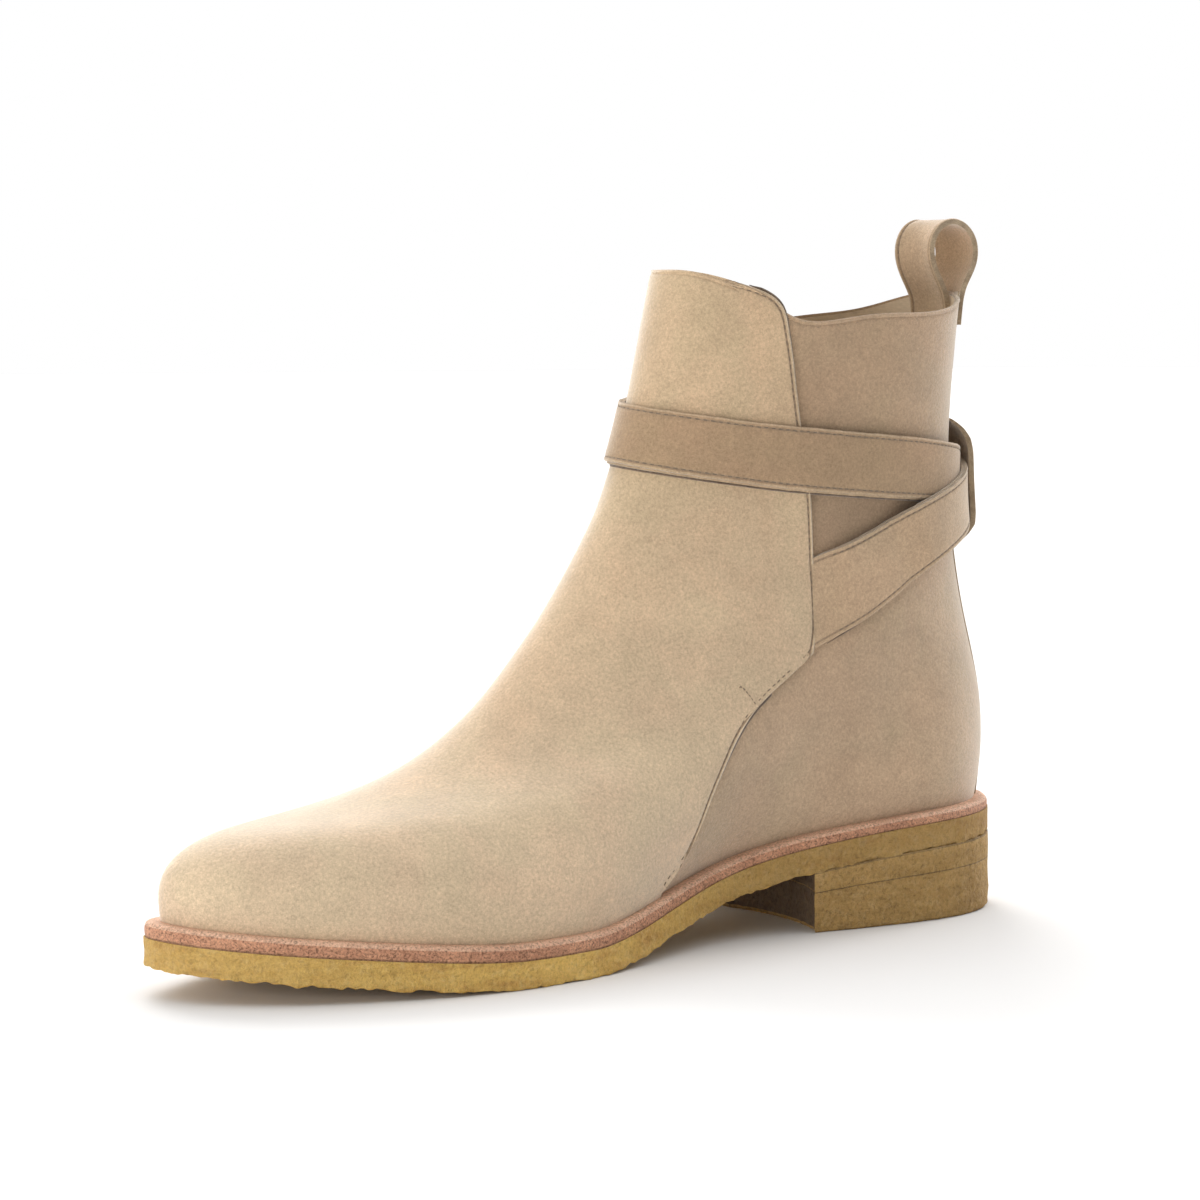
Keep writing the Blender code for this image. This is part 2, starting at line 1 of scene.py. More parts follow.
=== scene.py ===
"""Looks of the jodhpur boot: fine pieces, suede, crepe, leather and brass.

The boot stands on z = 0, heel towards +X, toe towards -X, inner side -Y.
Lengths below are in millimetres in the last's own frame (heel back at x = 0)
and are moved over the origin and turned into metres when a mesh is made.
Every form comes from one last surface, surf(t, v):
  t  0 at the feather edge up to 1 at the top line
  v  once round the boot, 0 heel back, 0.25 inner side, 0.5 front, 0.75 outer side
"""
import math
import bpy
import bmesh
import numpy as np
from mathutils import Matrix, Vector


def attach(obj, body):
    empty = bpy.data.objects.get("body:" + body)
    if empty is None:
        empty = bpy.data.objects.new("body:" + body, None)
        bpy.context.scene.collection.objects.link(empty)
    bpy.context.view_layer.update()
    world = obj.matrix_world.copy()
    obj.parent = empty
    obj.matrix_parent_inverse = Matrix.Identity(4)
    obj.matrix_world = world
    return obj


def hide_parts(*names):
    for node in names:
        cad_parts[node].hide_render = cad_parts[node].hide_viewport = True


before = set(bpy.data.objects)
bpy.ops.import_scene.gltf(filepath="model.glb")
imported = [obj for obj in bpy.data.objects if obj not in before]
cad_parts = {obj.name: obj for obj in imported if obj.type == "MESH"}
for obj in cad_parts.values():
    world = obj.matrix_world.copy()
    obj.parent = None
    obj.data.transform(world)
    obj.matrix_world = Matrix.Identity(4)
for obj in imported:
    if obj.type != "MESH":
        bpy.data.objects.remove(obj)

for name in ("Cube", "Light", "Camera"):
    if name in bpy.data.objects:
        bpy.data.objects.remove(bpy.data.objects[name], do_unlink=True)
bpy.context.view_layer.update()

MM = 0.001
RNG = np.random.default_rng(7)

# ------------------------------------------------------------ driving sizes
LENGTH = 300.0
OUTSOLE_T = 8.0
MIDSOLE_T = 2.9
GAP = 0.3
INSOLE_T = 3.0
INSOLE_INSET = 3.2
HEEL_LENGTH = 88.0
HEEL_HOLLOW = 9.0
FEATHER_RISE = OUTSOLE_T + MIDSOLE_T + 2 * GAP
CENTRE_X = 149.9
CENTRE_Y = 2.3

QUARTER_LIFT = -1.2     # outer face of the quarters
PANEL_LIFT = 0.2        # outer face of vamp and backstay
PANEL_T = 1.4
QUARTER_T = 0.8
LINING_LIFT = -2.05
LINING_T = 0.7
STRAP_T = 2.2
SEAM_INSET = 1.3        # stitch line from a raw edge

SOLE_PROFILE = [
    # share, height
    (0.00, 24.0), (0.12, 23.0), (0.25, 20.0), (0.33, 16.6), (0.42, 11.2), (0.52, 4.2),
    (0.60, 0.1), (0.66, -0.3), (0.72, 0.3), (0.82, 2.9), (0.92, 5.9), (1.00, 8.6),
]
MARGIN = [(0.00, 2.8), (0.20, 3.0), (0.50, 3.6), (0.80, 4.4), (1.00, 4.6)]
STATIONS = [0.0, 0.12, 0.26, 0.40, 0.54, 0.68, 0.84, 1.0]
LAST = [
    # t    back_x back_z front_x front_z   i0   i1   i2   i3   i4   i5   i6   i7     o0   o1   o2   o3   o4   o5   o6   o7   round_back round_front
    (0.00,  -2.8,  35.5, -295.4,  19.5,  28.0, 32.0, 28.5, 25.8, 38.3, 47.2, 43.9, 37.6,  23.5, 33.5, 37.4, 34.5, 38.2, 42.4, 30.8, 22.4,  .15, .40),
    (0.10,  -0.8,  46.0, -294.8,  34.0,  30.9, 35.0, 31.9, 31.6, 42.3, 49.3, 44.7, 37.5,  27.5, 35.0, 38.0, 37.0, 41.0, 43.9, 33.1, 21.0,  .18, .40),
    (0.20,   0.5,  58.0, -279.5,  43.2,  30.8, 34.2, 32.5, 34.0, 41.1, 44.9, 39.4, 32.9,  28.8, 34.0, 36.5, 37.0, 39.8, 37.9, 28.6, 18.3,  .20, .42),
    (0.31,  -0.3,  72.0, -250.5,  47.0,  29.5, 32.3, 32.3, 34.0, 38.0, 39.1, 34.2, 28.6,  28.5, 32.4, 34.3, 35.5, 36.8, 34.3, 27.4, 19.0,  .24, .49),
    (0.42,  -3.7,  88.0, -215.0,  57.5,  27.9, 29.5, 31.1, 32.9, 34.3, 33.8, 30.2, 24.6,  27.7, 30.4, 32.8, 34.1, 34.2, 32.3, 27.4, 20.9,  .30, .545),
    (0.54,  -7.6, 106.0, -183.5,  79.5,  26.6, 27.7, 29.6, 31.0, 31.3, 29.8, 26.8, 22.8,  26.7, 28.5, 31.0, 32.3, 32.2, 30.2, 26.6, 22.8,  .36, .56),
    (0.66, -11.0, 126.0, -157.2, 110.5,  26.1, 27.6, 29.0, 30.0, 29.9, 28.2, 25.9, 23.2,  26.1, 27.6, 29.0, 30.2, 30.2, 28.6, 25.5, 23.0,  .42, .54),
    (0.78, -12.5, 148.0, -139.5, 142.5,  27.0, 28.5, 29.4, 29.9, 29.3, 27.8, 26.0, 24.0,  27.0, 28.5, 29.4, 29.9, 29.3, 27.8, 25.8, 23.9,  .46, .52),
    (0.89, -12.0, 170.0, -130.0, 173.0,  28.0, 29.4, 30.3, 30.7, 29.7, 28.2, 26.6, 25.0,  28.0, 29.4, 30.3, 30.7, 29.7, 28.2, 26.5, 25.0,  .46, .50),
    (1.00, -10.0, 192.0, -122.8, 202.2,  29.0, 30.3, 31.1, 31.4, 30.4, 29.0, 27.4, 26.0,  29.0, 30.3, 31.0, 31.2, 30.1, 29.0, 27.3, 25.8,  .46, .50),
]

# Height of the top line round the boot: the front flap stands higher than the quarters.
TOP_LINE = [
    # v, height
    (0.00, 197.0), (0.06, 195.0), (0.12, 191.5), (0.18, 189.5), (0.25, 188.5), (0.325, 188.5),
    (0.345, 192.0), (0.37, 195.5), (0.40, 198.5), (0.44, 201.3), (0.50, 202.2), (0.60, 202.2),
    (0.67, 201.0), (0.71, 198.0), (0.735, 193.5), (0.76, 189.5), (0.82, 189.0), (0.88, 191.0),
    (0.94, 195.0), (1.00, 197.0),
]

# The two straps. v runs on past 1 or below 0 as a strap goes round the heel.
# mid is the height of its middle line, width is measured across it, and lift
# is its inner face's distance from the upper.
WRAP_STRAP = [
    # v      mid   width  lift
    (0.772,  99.0, 27.0, 0.35), (0.810, 105.5, 25.0, 0.35), (0.860, 115.8, 22.5, 0.35),
    (0.912, 124.0, 20.5, 0.35), (0.950, 128.7, 19.3, 0.35), (1.000, 133.2, 18.5, 0.35),
    (1.050, 136.8, 18.2, 0.35), (1.120, 139.9, 18.3, 0.35), (1.200, 142.3, 18.7, 0.35),
    (1.290, 145.2, 19.0, 0.35), (1.380, 148.7, 18.5, 0.35), (1.450, 151.1, 18.2, 0.35),
    (1.500, 152.2, 18.2, 0.35), (1.560, 153.0, 18.2, 0.35), (1.620, 154.3, 18.2, 0.35),
    (1.680, 155.8, 18.2, 0.35), (1.7010, 156.2, 18.2, 0.35), (1.7083, 156.2, 18.2, 0.70),
    (1.7155, 156.1, 18.2, 2.90), (1.7230, 156.1, 18.2, 5.15), (1.7295, 156.0, 18.2, 5.45),
    (1.7370, 156.0, 18.2, 4.25), (1.7460, 155.9, 18.2, 2.95), (1.760, 155.8, 18.2, 2.90),
    (1.790, 155.6, 18.2, 2.90), (1.826, 155.7, 18.2, 2.90), (1.840, 155.9, 16.4, 2.90),
    (1.850, 156.1, 12.8, 2.90), (1.857, 156.2, 7.0, 2.90),
]
BUCKLE_STRAP = [
    # v       mid   width  lift
    (0.246, 101.2, 26.0, 0.35), (0.221, 106.5, 24.5, 0.35), (0.200, 111.3, 22.9, 0.35),
    (0.182, 115.6, 21.6, 0.35), (0.160, 120.4, 20.4, 2.50), (0.145, 122.8, 19.9, 2.90), (0.120, 126.0, 19.2, 2.90),
    (0.080, 130.0, 18.6, 2.90), (0.040, 133.1, 18.3, 2.90), (0.000, 135.6, 18.2, 2.90),
    (-0.040, 137.7, 18.2, 2.90), (-0.080, 139.4, 18.2, 2.90), (-0.108, 140.9, 18.2, 2.90),
    (-0.145, 143.5, 18.2, 0.35), (-0.175, 146.3, 18.2, 0.35), (-0.210, 149.4, 18.2, 0.35),
    (-0.245, 152.7, 18.2, 0.35), (-0.268, 154.6, 18.2, 0.35),
]

# Keeper: a belt loop over both straps at the heel's back. height, lift of its inner face.
KEEPER_HALF_WIDTH = 10.0
KEEPER = [
    # height, lift
    (114.8, -1.7), (116.2, 0.3), (118.2, 3.0), (121.0, 5.3), (125.0, 6.0), (130.0, 6.1),
    (139.0, 6.1), (145.0, 6.0), (149.6, 5.0), (152.8, 2.8), (154.8, 0.3), (156.0, -1.7),
]

# Pull loop at the heel's back, from the outside leg over the top line to the
# inside leg. height, distance behind the upper's outer face.
PULL_LOOP = [
    (186.0, 0.35), (190.5, 0.35), (196.5, 0.9), (201.5, 3.4), (207.0, 6.0),
    (212.5, 5.6), (216.5, 2.2), (217.8, -2.8), (215.5, -7.8), (210.0, -10.2), (203.5, -8.6),
    (197.5, -5.0), (192.0, -3.0), (184.0, -2.8), (176.0, -2.8),
]

# Buckle, seated on the outer side.
BUCKLE_X = -82.0        # middle, from the heel back
BUCKLE_Z = 156.1        # middle, above the floor
BUCKLE_LONG = 21.0      # along the strap
BUCKLE_WIDE = 26.5      # across the strap
BUCKLE_T = 2.6
BUCKLE_BAR = 2.2        # width of its bars
BUCKLE_RISE = 0.8       # degrees it climbs to the front
BUCKLE_LIFT_FRONT = 3.0 # underside of the front bar above the upper
BUCKLE_LIFT_REAR = 5.7  # underside of the rear bar above the upper
PRONG_D = 2.0
# ------------------------------------------------------------ the last
def spline(knots, values):
    """Natural cubic spline through rows of values at the knots."""
    k = np.asarray(knots, float)
    v = np.asarray(values, float)
    n = len(k)
    h = np.diff(k)
    a = np.zeros((n, n))
    b = np.zeros(v.shape)
    a[0, 0] = a[-1, -1] = 1.0
    for i in range(1, n - 1):
        a[i, i - 1], a[i, i], a[i, i + 1] = h[i - 1], 2 * (h[i - 1] + h[i]), h[i]
        b[i] = 6 * ((v[i + 1] - v[i]) / h[i] - (v[i] - v[i - 1]) / h[i - 1])
    m = np.linalg.solve(a, b)

    def f(s):
        s = np.asarray(s, float)
        j = np.clip(np.searchsorted(k, s, side="right") - 1, 0, n - 2)
        hj = h[j]
        p = (s - k[j]) / hj
        q = 1 - p
        if v.ndim > 1:
            hj, p, q = hj[..., None], p[..., None], q[..., None]
        return q * v[j] + p * v[j + 1] + ((q**3 - q) * m[j] + (p**3 - p) * m[j + 1]) * hj * hj / 6
    return f


def columns(table):
    return [np.array(c, float) for c in zip(*table)]


def rounding(u):
    u = np.clip(u, 0, 1)
    return np.sqrt(np.maximum(1 - (1 - u) ** 3, 0))


def smooth(x, a, b):
    k = np.clip((x - a) / (b - a), 0, 1)
    return k * k * (3 - 2 * k)


LAST_ROWS = np.array(LAST, float)
last_row = spline(LAST_ROWS[:, 0], LAST_ROWS[:, 1:])
station_weights = spline(STATIONS, np.eye(len(STATIONS)))
sole_curve = spline(*columns(SOLE_PROFILE))
top_line = spline(*columns(TOP_LINE))


def sole_z(x):
    """Underside of the outsole at x, flat on the floor under the ball."""
    return np.maximum(sole_curve(np.clip(-np.asarray(x, float) / LENGTH, 0, 1)), 0)


def surf(t, v):
    """Point of the last for arrays t and v."""
    t, v = np.broadcast_arrays(np.asarray(t, float), np.asarray(v, float))
    shape = t.shape
    t, v = t.ravel(), v.ravel() % 1.0
    r = last_row(t)
    bx, bz, fx, fz, nb, nf = r[:, 0], r[:, 1], r[:, 2], r[:, 3], r[:, 20], r[:, 21]
    inner = v <= 0.5
    w = np.where(inner, 2 * v, 2 - 2 * v)
    u = (1 - np.cos(np.pi * w)) / 2
    x = bx + (fx - bx) * u
    z = bz + (fz - bz) * u
    b0x, b0z, f0x, f0z = LAST_ROWS[0, 1:5]
    low = 1 - smooth(t, 0.0, 0.35)
    z = z + low * (sole_z(b0x + (f0x - b0x) * u) + FEATHER_RISE - (b0z + (f0z - b0z) * u))
    e = rounding(u / nb) * rounding((1 - u) / nf)
    k = station_weights(u)
    y = np.where(inner, -(k * r[:, 4:12]).sum(1), (k * r[:, 12:20]).sum(1)) * e
    return np.stack([x, y, z], -1).reshape(shape + (3,))


def normal(t, v):
    """Outward unit normal of the last."""
    d = 2e-3
    a = surf(t, np.asarray(v) + d) - surf(t, np.asarray(v) - d)
    b = surf(np.asarray(t) + d, v) - surf(np.asarray(t) - d, v)
    n = np.cross(b, a)
    return n / np.linalg.norm(n, axis=-1, keepdims=True)




# A table of the last, so that many points can be looked up at once.
T_KNOTS = np.linspace(-0.03, 1.12, 231)
V_KNOTS = np.linspace(0.0, 1.0, 721)
LAST_GRID = surf(T_KNOTS[:, None], V_KNOTS[None, :])


def at_height(v, z):
    """t at which the last reaches height z, for arrays v and z."""
    v, z = np.broadcast_arrays(np.asarray(v, float), np.asarray(z, float))
    out = np.empty(v.shape)
    pos = (v % 1.0) * (len(V_KNOTS) - 1)
    j = np.minimum(pos.astype(int), len(V_KNOTS) - 2)
    f = pos - j
    for i in np.ndindex(v.shape):
        col = LAST_GRID[:, j[i], 2] * (1 - f[i]) + LAST_GRID[:, j[i] + 1, 2] * f[i]
        out[i] = np.interp(z[i], col, T_KNOTS)
    return out


def settle(q, t, v, turns=5):
    """(t, v) of the last's point nearest to each point q, from a first guess."""
    t, v = np.array(t, float), np.array(v, float)
    for _ in range(turns):
        p = surf(t, v)
        a, b = (surf(t + 1e-3, v) - p) / 1e-3, (surf(t, v + 1e-4) - p) / 1e-4
        r = q - p
        aa, ab, bb = (a * a).sum(-1), (a * b).sum(-1), (b * b).sum(-1)
        ar, br = (a * r).sum(-1), (b * r).sum(-1)
        det = aa * bb - ab * ab + 1e-9
        t = t + np.clip((bb * ar - ab * br) / det, -0.05, 0.05)
        v = v + np.clip((aa * br - ab * ar) / det, -0.02, 0.02)
    return t, v


def locate(side, points):
    """(t, v) of points given by x and z on one side of the boot (-1 inner, 1 outer)."""
    cols = slice(8, 361) if side < 0 else slice(360, 713)
    g = LAST_GRID[:, cols]
    ts, vs = [], []
    for x, z in points:
        d = (g[..., 0] - x) ** 2 + (g[..., 2] - z) ** 2
        i, j = np.unravel_index(d.argmin(), d.shape)
        t, v = T_KNOTS[i], V_KNOTS[cols][j]
        for _ in range(4):
            p = surf(t, v)
            a, b = (surf(t + 1e-3, v) - p) / 1e-3, (surf(t, v + 1e-4) - p) / 1e-4
            m = np.array([[a[0], b[0]], [a[2], b[2]]])
            s = np.linalg.solve(m, [x - p[0], z - p[2]])
            t, v = t + np.clip(s[0], -0.02, 0.02), v + np.clip(s[1], -0.01, 0.01)
        ts.append(float(t))
        vs.append(float(v))
    return np.array(ts), np.array(vs)


def lattice(p, cell, seed):
    """Smooth noise from -1 to 1 with bumps about one cell wide (mm)."""
    q = np.asarray(p, float) / cell + 31.7 * (seed + 1)
    i = np.floor(q).astype(np.int64)
    f = q - i
    f = f * f * (3 - 2 * f)
    out = np.zeros(q.shape[:-1])
    for dx in (0, 1):
        for dy in (0, 1):
            for dz in (0, 1):
                h = ((i[..., 0] + dx) * 73856093) ^ ((i[..., 1] + dy) * 19349663) ^ ((i[..., 2] + dz) * 83492791) ^ (seed * 2654435761)
                h = (h ^ (h >> 13)) * 1274126177
                n = ((h ^ (h >> 16)) & 65535) / 32767.5 - 1.0
                w = (f[..., 0] if dx else 1 - f[..., 0]) * (f[..., 1] if dy else 1 - f[..., 1]) * (f[..., 2] if dz else 1 - f[..., 2])
                out += n * w
    return out


# Soft creases of the worn-in upper: side, two ends (x, z), half width, depth.
# A negative depth is a ridge.
CREASES = [
    # side    x0     z0     x1     z1   width depth
    (-1, -133.0, 129.0, -104.0, 118.0, 9.0, 0.45),
    (-1, -137.0, 118.0, -112.0, 104.0, 8.0, -0.35),
    (-1, -146.0, 104.0, -124.0, 90.0, 9.0, 0.40),
    (-1, -172.0, 64.0, -147.0, 50.0, 11.0, 0.45),
    (-1, -205.0, 42.0, -188.0, 26.0, 9.0, 0.30),
    (-1, -52.0, 74.0, -22.0, 64.0, 12.0, 0.60),
    (-1, -70.0, 52.0, -38.0, 46.0, 10.0, -0.40),
    (-1, -112.0, 184.0, -98.0, 168.0, 10.0, 0.45),
    (1, -136.0, 126.0, -106.0, 112.0, 9.0, 0.45),
    (1, -147.0, 103.0, -120.0, 92.0, 9.0, -0.35),
    (1, -176.0, 66.0, -150.0, 54.0, 11.0, 0.45),
    (1, -208.0, 44.0, -186.0, 30.0, 9.0, 0.35),
    (1, -60.0, 82.0, -28.0, 66.0, 12.0, 0.60),
    (1, -62.0, 118.0, -34.0, 124.0, 9.0, 0.50),
    (1, -46.0, 176.0, -24.0, 184.0, 10.0, 0.50),
]


def relief(p):
    """Height added to the upper by its creases and the leather's own unevenness."""
    out = 0.22 * lattice(p, 34.0, 3) + 0.09 * lattice(p, 13.0, 4)
    for side, x0, z0, x1, z1, wide, deep in CREASES:
        a, d = np.array([x0, z0]), np.array([x1 - x0, z1 - z0])
        q = p[..., [0, 2]] - a
        along = (q @ d) / (d @ d)
        k = np.clip(along, 0, 1)
        away = np.linalg.norm(q - k[..., None] * d, axis=-1)
        near = np.where(p[..., 1] * side > 4, 1.0, np.clip(p[..., 1] * side / 4, 0, 1))
        out = out - deep * np.exp(-(away / wide) ** 2) * near
    return out


def edge(v, grow):
    """Outline round the feather edge, grown by the given amount (x, y)."""
    v = np.asarray(v, float)
    p = surf(np.zeros(v.shape), v)[:, :2]
    d = 1e-3
    t = surf(np.zeros(v.shape), v + d)[:, :2] - surf(np.zeros(v.shape), v - d)[:, :2]
    t /= np.linalg.norm(t, axis=1, keepdims=True)
    n = np.stack([-t[:, 1], t[:, 0]], 1)
    return p + n * np.broadcast_to(grow, v.shape)[:, None]


def margin(v):
    share, wide = columns(MARGIN)
    x = surf(np.zeros(np.shape(v)), v)[..., 0]
    return np.interp(-x / LENGTH, share, wide)


# ------------------------------------------------------------ meshes
def placed(points):
    """Points in the last's own frame, moved over the origin and turned into metres."""
    return (np.asarray(points, float) + np.array([CENTRE_X, CENTRE_Y, 0.0])) * MM


def make(name, points, faces, mats, index=None, sharp=42):
    mesh = bpy.data.meshes.new(name)
    mesh.from_pydata(placed(points).tolist(), [], faces)
    for m in mats:
        mesh.materials.append(m)
    if index is not None:
        mesh.polygons.foreach_set("material_index", np.asarray(index, np.int32))
    bm = bmesh.new()
    bm.from_mesh(mesh)
    bmesh.ops.recalc_face_normals(bm, faces=bm.faces)
    bm.to_mesh(mesh)
    bm.free()
    mesh.shade_smooth()
    mesh.set_sharp_from_angle(angle=math.radians(sharp))
    mesh.update()
    ob = bpy.data.objects.new(name, mesh)
    bpy.context.scene.collection.objects.link(ob)
    return ob


def cells(rows, cols, closed=False):
    n = cols if closed else cols - 1
    i, j = np.meshgrid(np.arange(rows - 1), np.arange(n), indexing="ij")
    k = (j + 1) % cols
    return np.stack([i * cols + j, i * cols + k, (i + 1) * cols + k, (i + 1) * cols + j], -1).reshape(-1, 4)


def shell(name, outer, inner, mats, closed=False, trim=0):
    """Closed body between two grids of points. Its faces take mats[0], its rims mats[-1].
    The outer face's trim outermost lanes on each side, outside the stitches, take
    mats[2], and the lanes of the stitch groove mats[1], a darker material that paints shade there."""
    rows, cols = outer.shape[:2]
    m = rows * cols
    q = cells(rows, cols, closed)
    faces = [q, q[:, ::-1] + m]
    if closed:
        loops = [np.arange(cols), (rows - 1) * cols + np.arange(cols)]
    else:
        loops = [np.concatenate([np.arange(cols), (np.arange(1, rows) * cols) + cols - 1,
                                 (rows - 1) * cols + np.arange(cols - 2, -1, -1), np.arange(rows - 2, 0, -1) * cols])]
    rims = []
    for loop in loops:
        nxt = np.roll(loop, -1)
        rims.append(np.stack([loop, nxt, nxt + m, loop + m], -1))
    rims = np.concatenate(rims)
    faces = np.concatenate(faces + [rims])
    index = np.zeros(len(faces), int)
    index[len(faces) - len(rims):] = len(mats) - 1
    if trim:
        lane = np.tile(np.arange(cols - 1), rows - 1)
        lane = np.minimum(lane, cols - 2 - lane)
        index[:len(q)][lane < trim] = 2
        index[:len(q)][(lane == 3) | (lane == 4)] = 1
    pts = np.concatenate([outer.reshape(-1, 3), inner.reshape(-1, 3)])
    return make(name, pts, faces.tolist(), mats, index)


def lift(tv, height):
    """Points of the last lifted by height, from a grid of (t, v)."""
    t, v = tv[..., 0], tv[..., 1]
    return surf(t, v) + normal(t, v) * np.broadcast_to(height, t.shape)[..., None]


def resample(tv, targets, axis):
    """Grid of (t, v) with its lines along an axis cut again at the given
    distances (mm). targets gives them from a line's length."""
    g = tv if axis == 1 else tv.transpose(1, 0, 2)
    pts = surf(g[..., 0], g[..., 1])
    out = []
    for line, p in zip(g, pts):
        s = np.concatenate([[0], np.cumsum(np.linalg.norm(np.diff(p, axis=0), axis=1))])
        want = targets(s[-1])
        out.append(np.stack([np.interp(want, s, line[:, 0]), np.interp(want, s, line[:, 1])], -1))
    g = np.array(out)
    return g if axis == 1 else g.transpose(1, 0, 2)


EDGE_STEPS = np.array([0.0, 0.25, 0.6, 0.95, 1.3, 1.65, 2.1, 3.0, 4.6])


def spaced(count, low=False, high=False):
    """Distances for resample: count even cells, with close steps at the ends asked for."""
    def f(length):
        k = min(1.0, length / 12.0)
        a = EDGE_STEPS * k if low else np.array([0.0])
        b = length - EDGE_STEPS[::-1] * k if high else np.array([length])
        return np.concatenate([a[:-1], np.linspace(a[-1], b[0], count + 1), b[1:]])
    return f


def edge_drop(d):
    """Rounding of a cut edge, and the dip under its stitch line, by distance from the edge."""
    return 0.22 * np.exp(-(d / 0.22) ** 2) + 0.34 * np.exp(-((d - SEAM_INSET) / 0.34) ** 2) - 0.20 * np.exp(-((d - 0.55) / 0.30) ** 2)


def coons(a, b, c, d, rows=150, cols=170):
    """(t, v) grid inside four border curves: a left and b right (bottom to top),
    c bottom and d top (left to right), each an array of (t, v)."""
    def cut(p, n):
        q = surf(p[:, 0], p[:, 1])
        s = np.concatenate([[0], np.cumsum(np.linalg.norm(np.diff(q, axis=0), axis=1))])
        w = np.linspace(0, s[-1], n)
        return np.stack([np.interp(w, s, p[:, 0]), np.interp(w, s, p[:, 1])], -1)
    c, d = cut(c, cols), cut(d, cols)
    r = np.linspace(0, 1, rows)[:, None, None]
    s = np.linspace(0, 1, cols)[None, :, None]
    a = np.stack([np.interp(np.linspace(0, 1, rows), np.linspace(0, 1, len(a)), a[:, k]) for k in (0, 1)], -1)
    b = np.stack([np.interp(np.linspace(0, 1, rows), np.linspace(0, 1, len(b)), b[:, k]) for k in (0, 1)], -1)
    flat = (1 - s) * a[:, None] + s * b[:, None] + (1 - r) * c[None] + r * d[None]
    return flat - ((1 - s) * (1 - r) * a[0] + s * (1 - r) * b[0] + (1 - s) * r * a[-1] + s * r * b[-1])


def polyline(side, runs, counts):
    """Border curve from runs of (x, z) points, a smooth curve through each run
    and a corner where runs meet, as (t, v) with counts[i] steps in run i."""
    out = []
    for pts, n in zip(runs, counts):
        t, v = locate(side, pts)
        p = surf(t, v)
        s = np.concatenate([[0], np.cumsum(np.linalg.norm(np.diff(p, axis=0), axis=1))])
        f = spline(s, np.stack([t, v], -1)) if len(s) > 2 else (lambda w, s=s, t=t, v=v: np.stack([np.interp(w, s, t), np.interp(w, s, v)], -1))
        w = np.linspace(0, s[-1], n + 1)
        out.append(f(w) if not out else f(w)[1:])
    return np.concatenate(out)


def thread(name, lines, mat, pitch=2.4, stitch=1.6, radius=0.17, sink=0.12, sides=6, skew=0.0):
    """Stitches along lines of (points, normals), one mesh. A stitch is a short
    tube that dips into the leather at both ends."""
    u = np.linspace(-1, 1, 7)
    ang = np.arange(sides) * 2 * math.pi / sides
    verts, faces = [], []
    base = 0
    for pts, nrm in lines:
        pts, nrm = np.asarray(pts, float), np.asarray(nrm, float)
        s = np.concatenate([[0], np.cumsum(np.linalg.norm(np.diff(pts, axis=0), axis=1))])
        n = int((s[-1] - 0.6) / pitch)
        if n < 1:
            continue
        off = (s[-1] - n * pitch) / 2
        for k in range(n):
            mid = off + (k + 0.5) * pitch + RNG.uniform(-0.08, 0.08)
            w = mid + u * stitch / 2
            c = np.stack([np.interp(w, s, pts[:, i]) for i in range(3)], -1)
            m = np.stack([np.interp(w, s, nrm[:, i]) for i in range(3)], -1)
            m /= np.linalg.norm(m, axis=1, keepdims=True)
            d = c[-1] - c[0]
            d /= np.linalg.norm(d)
            side = np.cross(d, m)
            h = radius * (1.5 * np.sqrt(np.clip(1 - u ** 4, 0, 1)) - 1.15) - sink + RNG.uniform(-0.02, 0.02)
            c = c + m * h[:, None] + side * (skew * u + RNG.uniform(-0.04, 0.04))[:, None]
            r = radius * (0.55 + 0.45 * np.sqrt(np.clip(1 - u ** 6, 0, 1)))
            ring = c[:, None] + r[:, None, None] * (side[:, None] * np.cos(ang)[None, :, None] + m[:, None] * np.sin(ang)[None, :, None])
            verts.append(ring.reshape(-1, 3))
            q = cells(len(u), sides, True) + base
            faces += q.tolist()
            faces.append([base + i for i in range(sides)][::-1])
            faces.append([base + (len(u) - 1) * sides + i for i in range(sides)])
            base += len(u) * sides
    return make(name, np.concatenate(verts), faces, [mat], sharp=80)


def cord(name, lines, mat, radius, sides=8):
    """Thin round cords along lines of points, one mesh."""
    ang = np.arange(sides) * 2 * math.pi / sides
    verts, faces, base = [], [], 0
    for pts, nrm in lines:
        d = np.gradient(pts, axis=0)
        d /= np.linalg.norm(d, axis=1, keepdims=True)
        side = np.cross(d, nrm)
        side /= np.linalg.norm(side, axis=1, keepdims=True)
        up = np.cross(side, d)
        k = np.arange(len(pts))
        r = radius * np.clip(np.minimum(k, k[::-1]) / 3.0, 0.25, 1.0)
        ring = pts[:, None] + r[:, None, None] * (side[:, None] * np.cos(ang)[None, :, None] + up[:, None] * np.sin(ang)[None, :, None])
        verts.append(ring.reshape(-1, 3))
        faces += (cells(len(pts), sides, True) + base).tolist()
        faces.append([base + j for j in range(sides)][::-1])
        faces.append([base + (len(pts) - 1) * sides + j for j in range(sides)])
        base += len(pts) * sides
    return make(name, np.concatenate(verts), faces, [mat], sharp=80)


def carry(ob, slot, *nodes):
    """Ties a piece to the boot and hides the solids it stands for; slot is not used."""
    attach(ob, "root")
    if nodes:
        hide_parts(*nodes)
    return ob


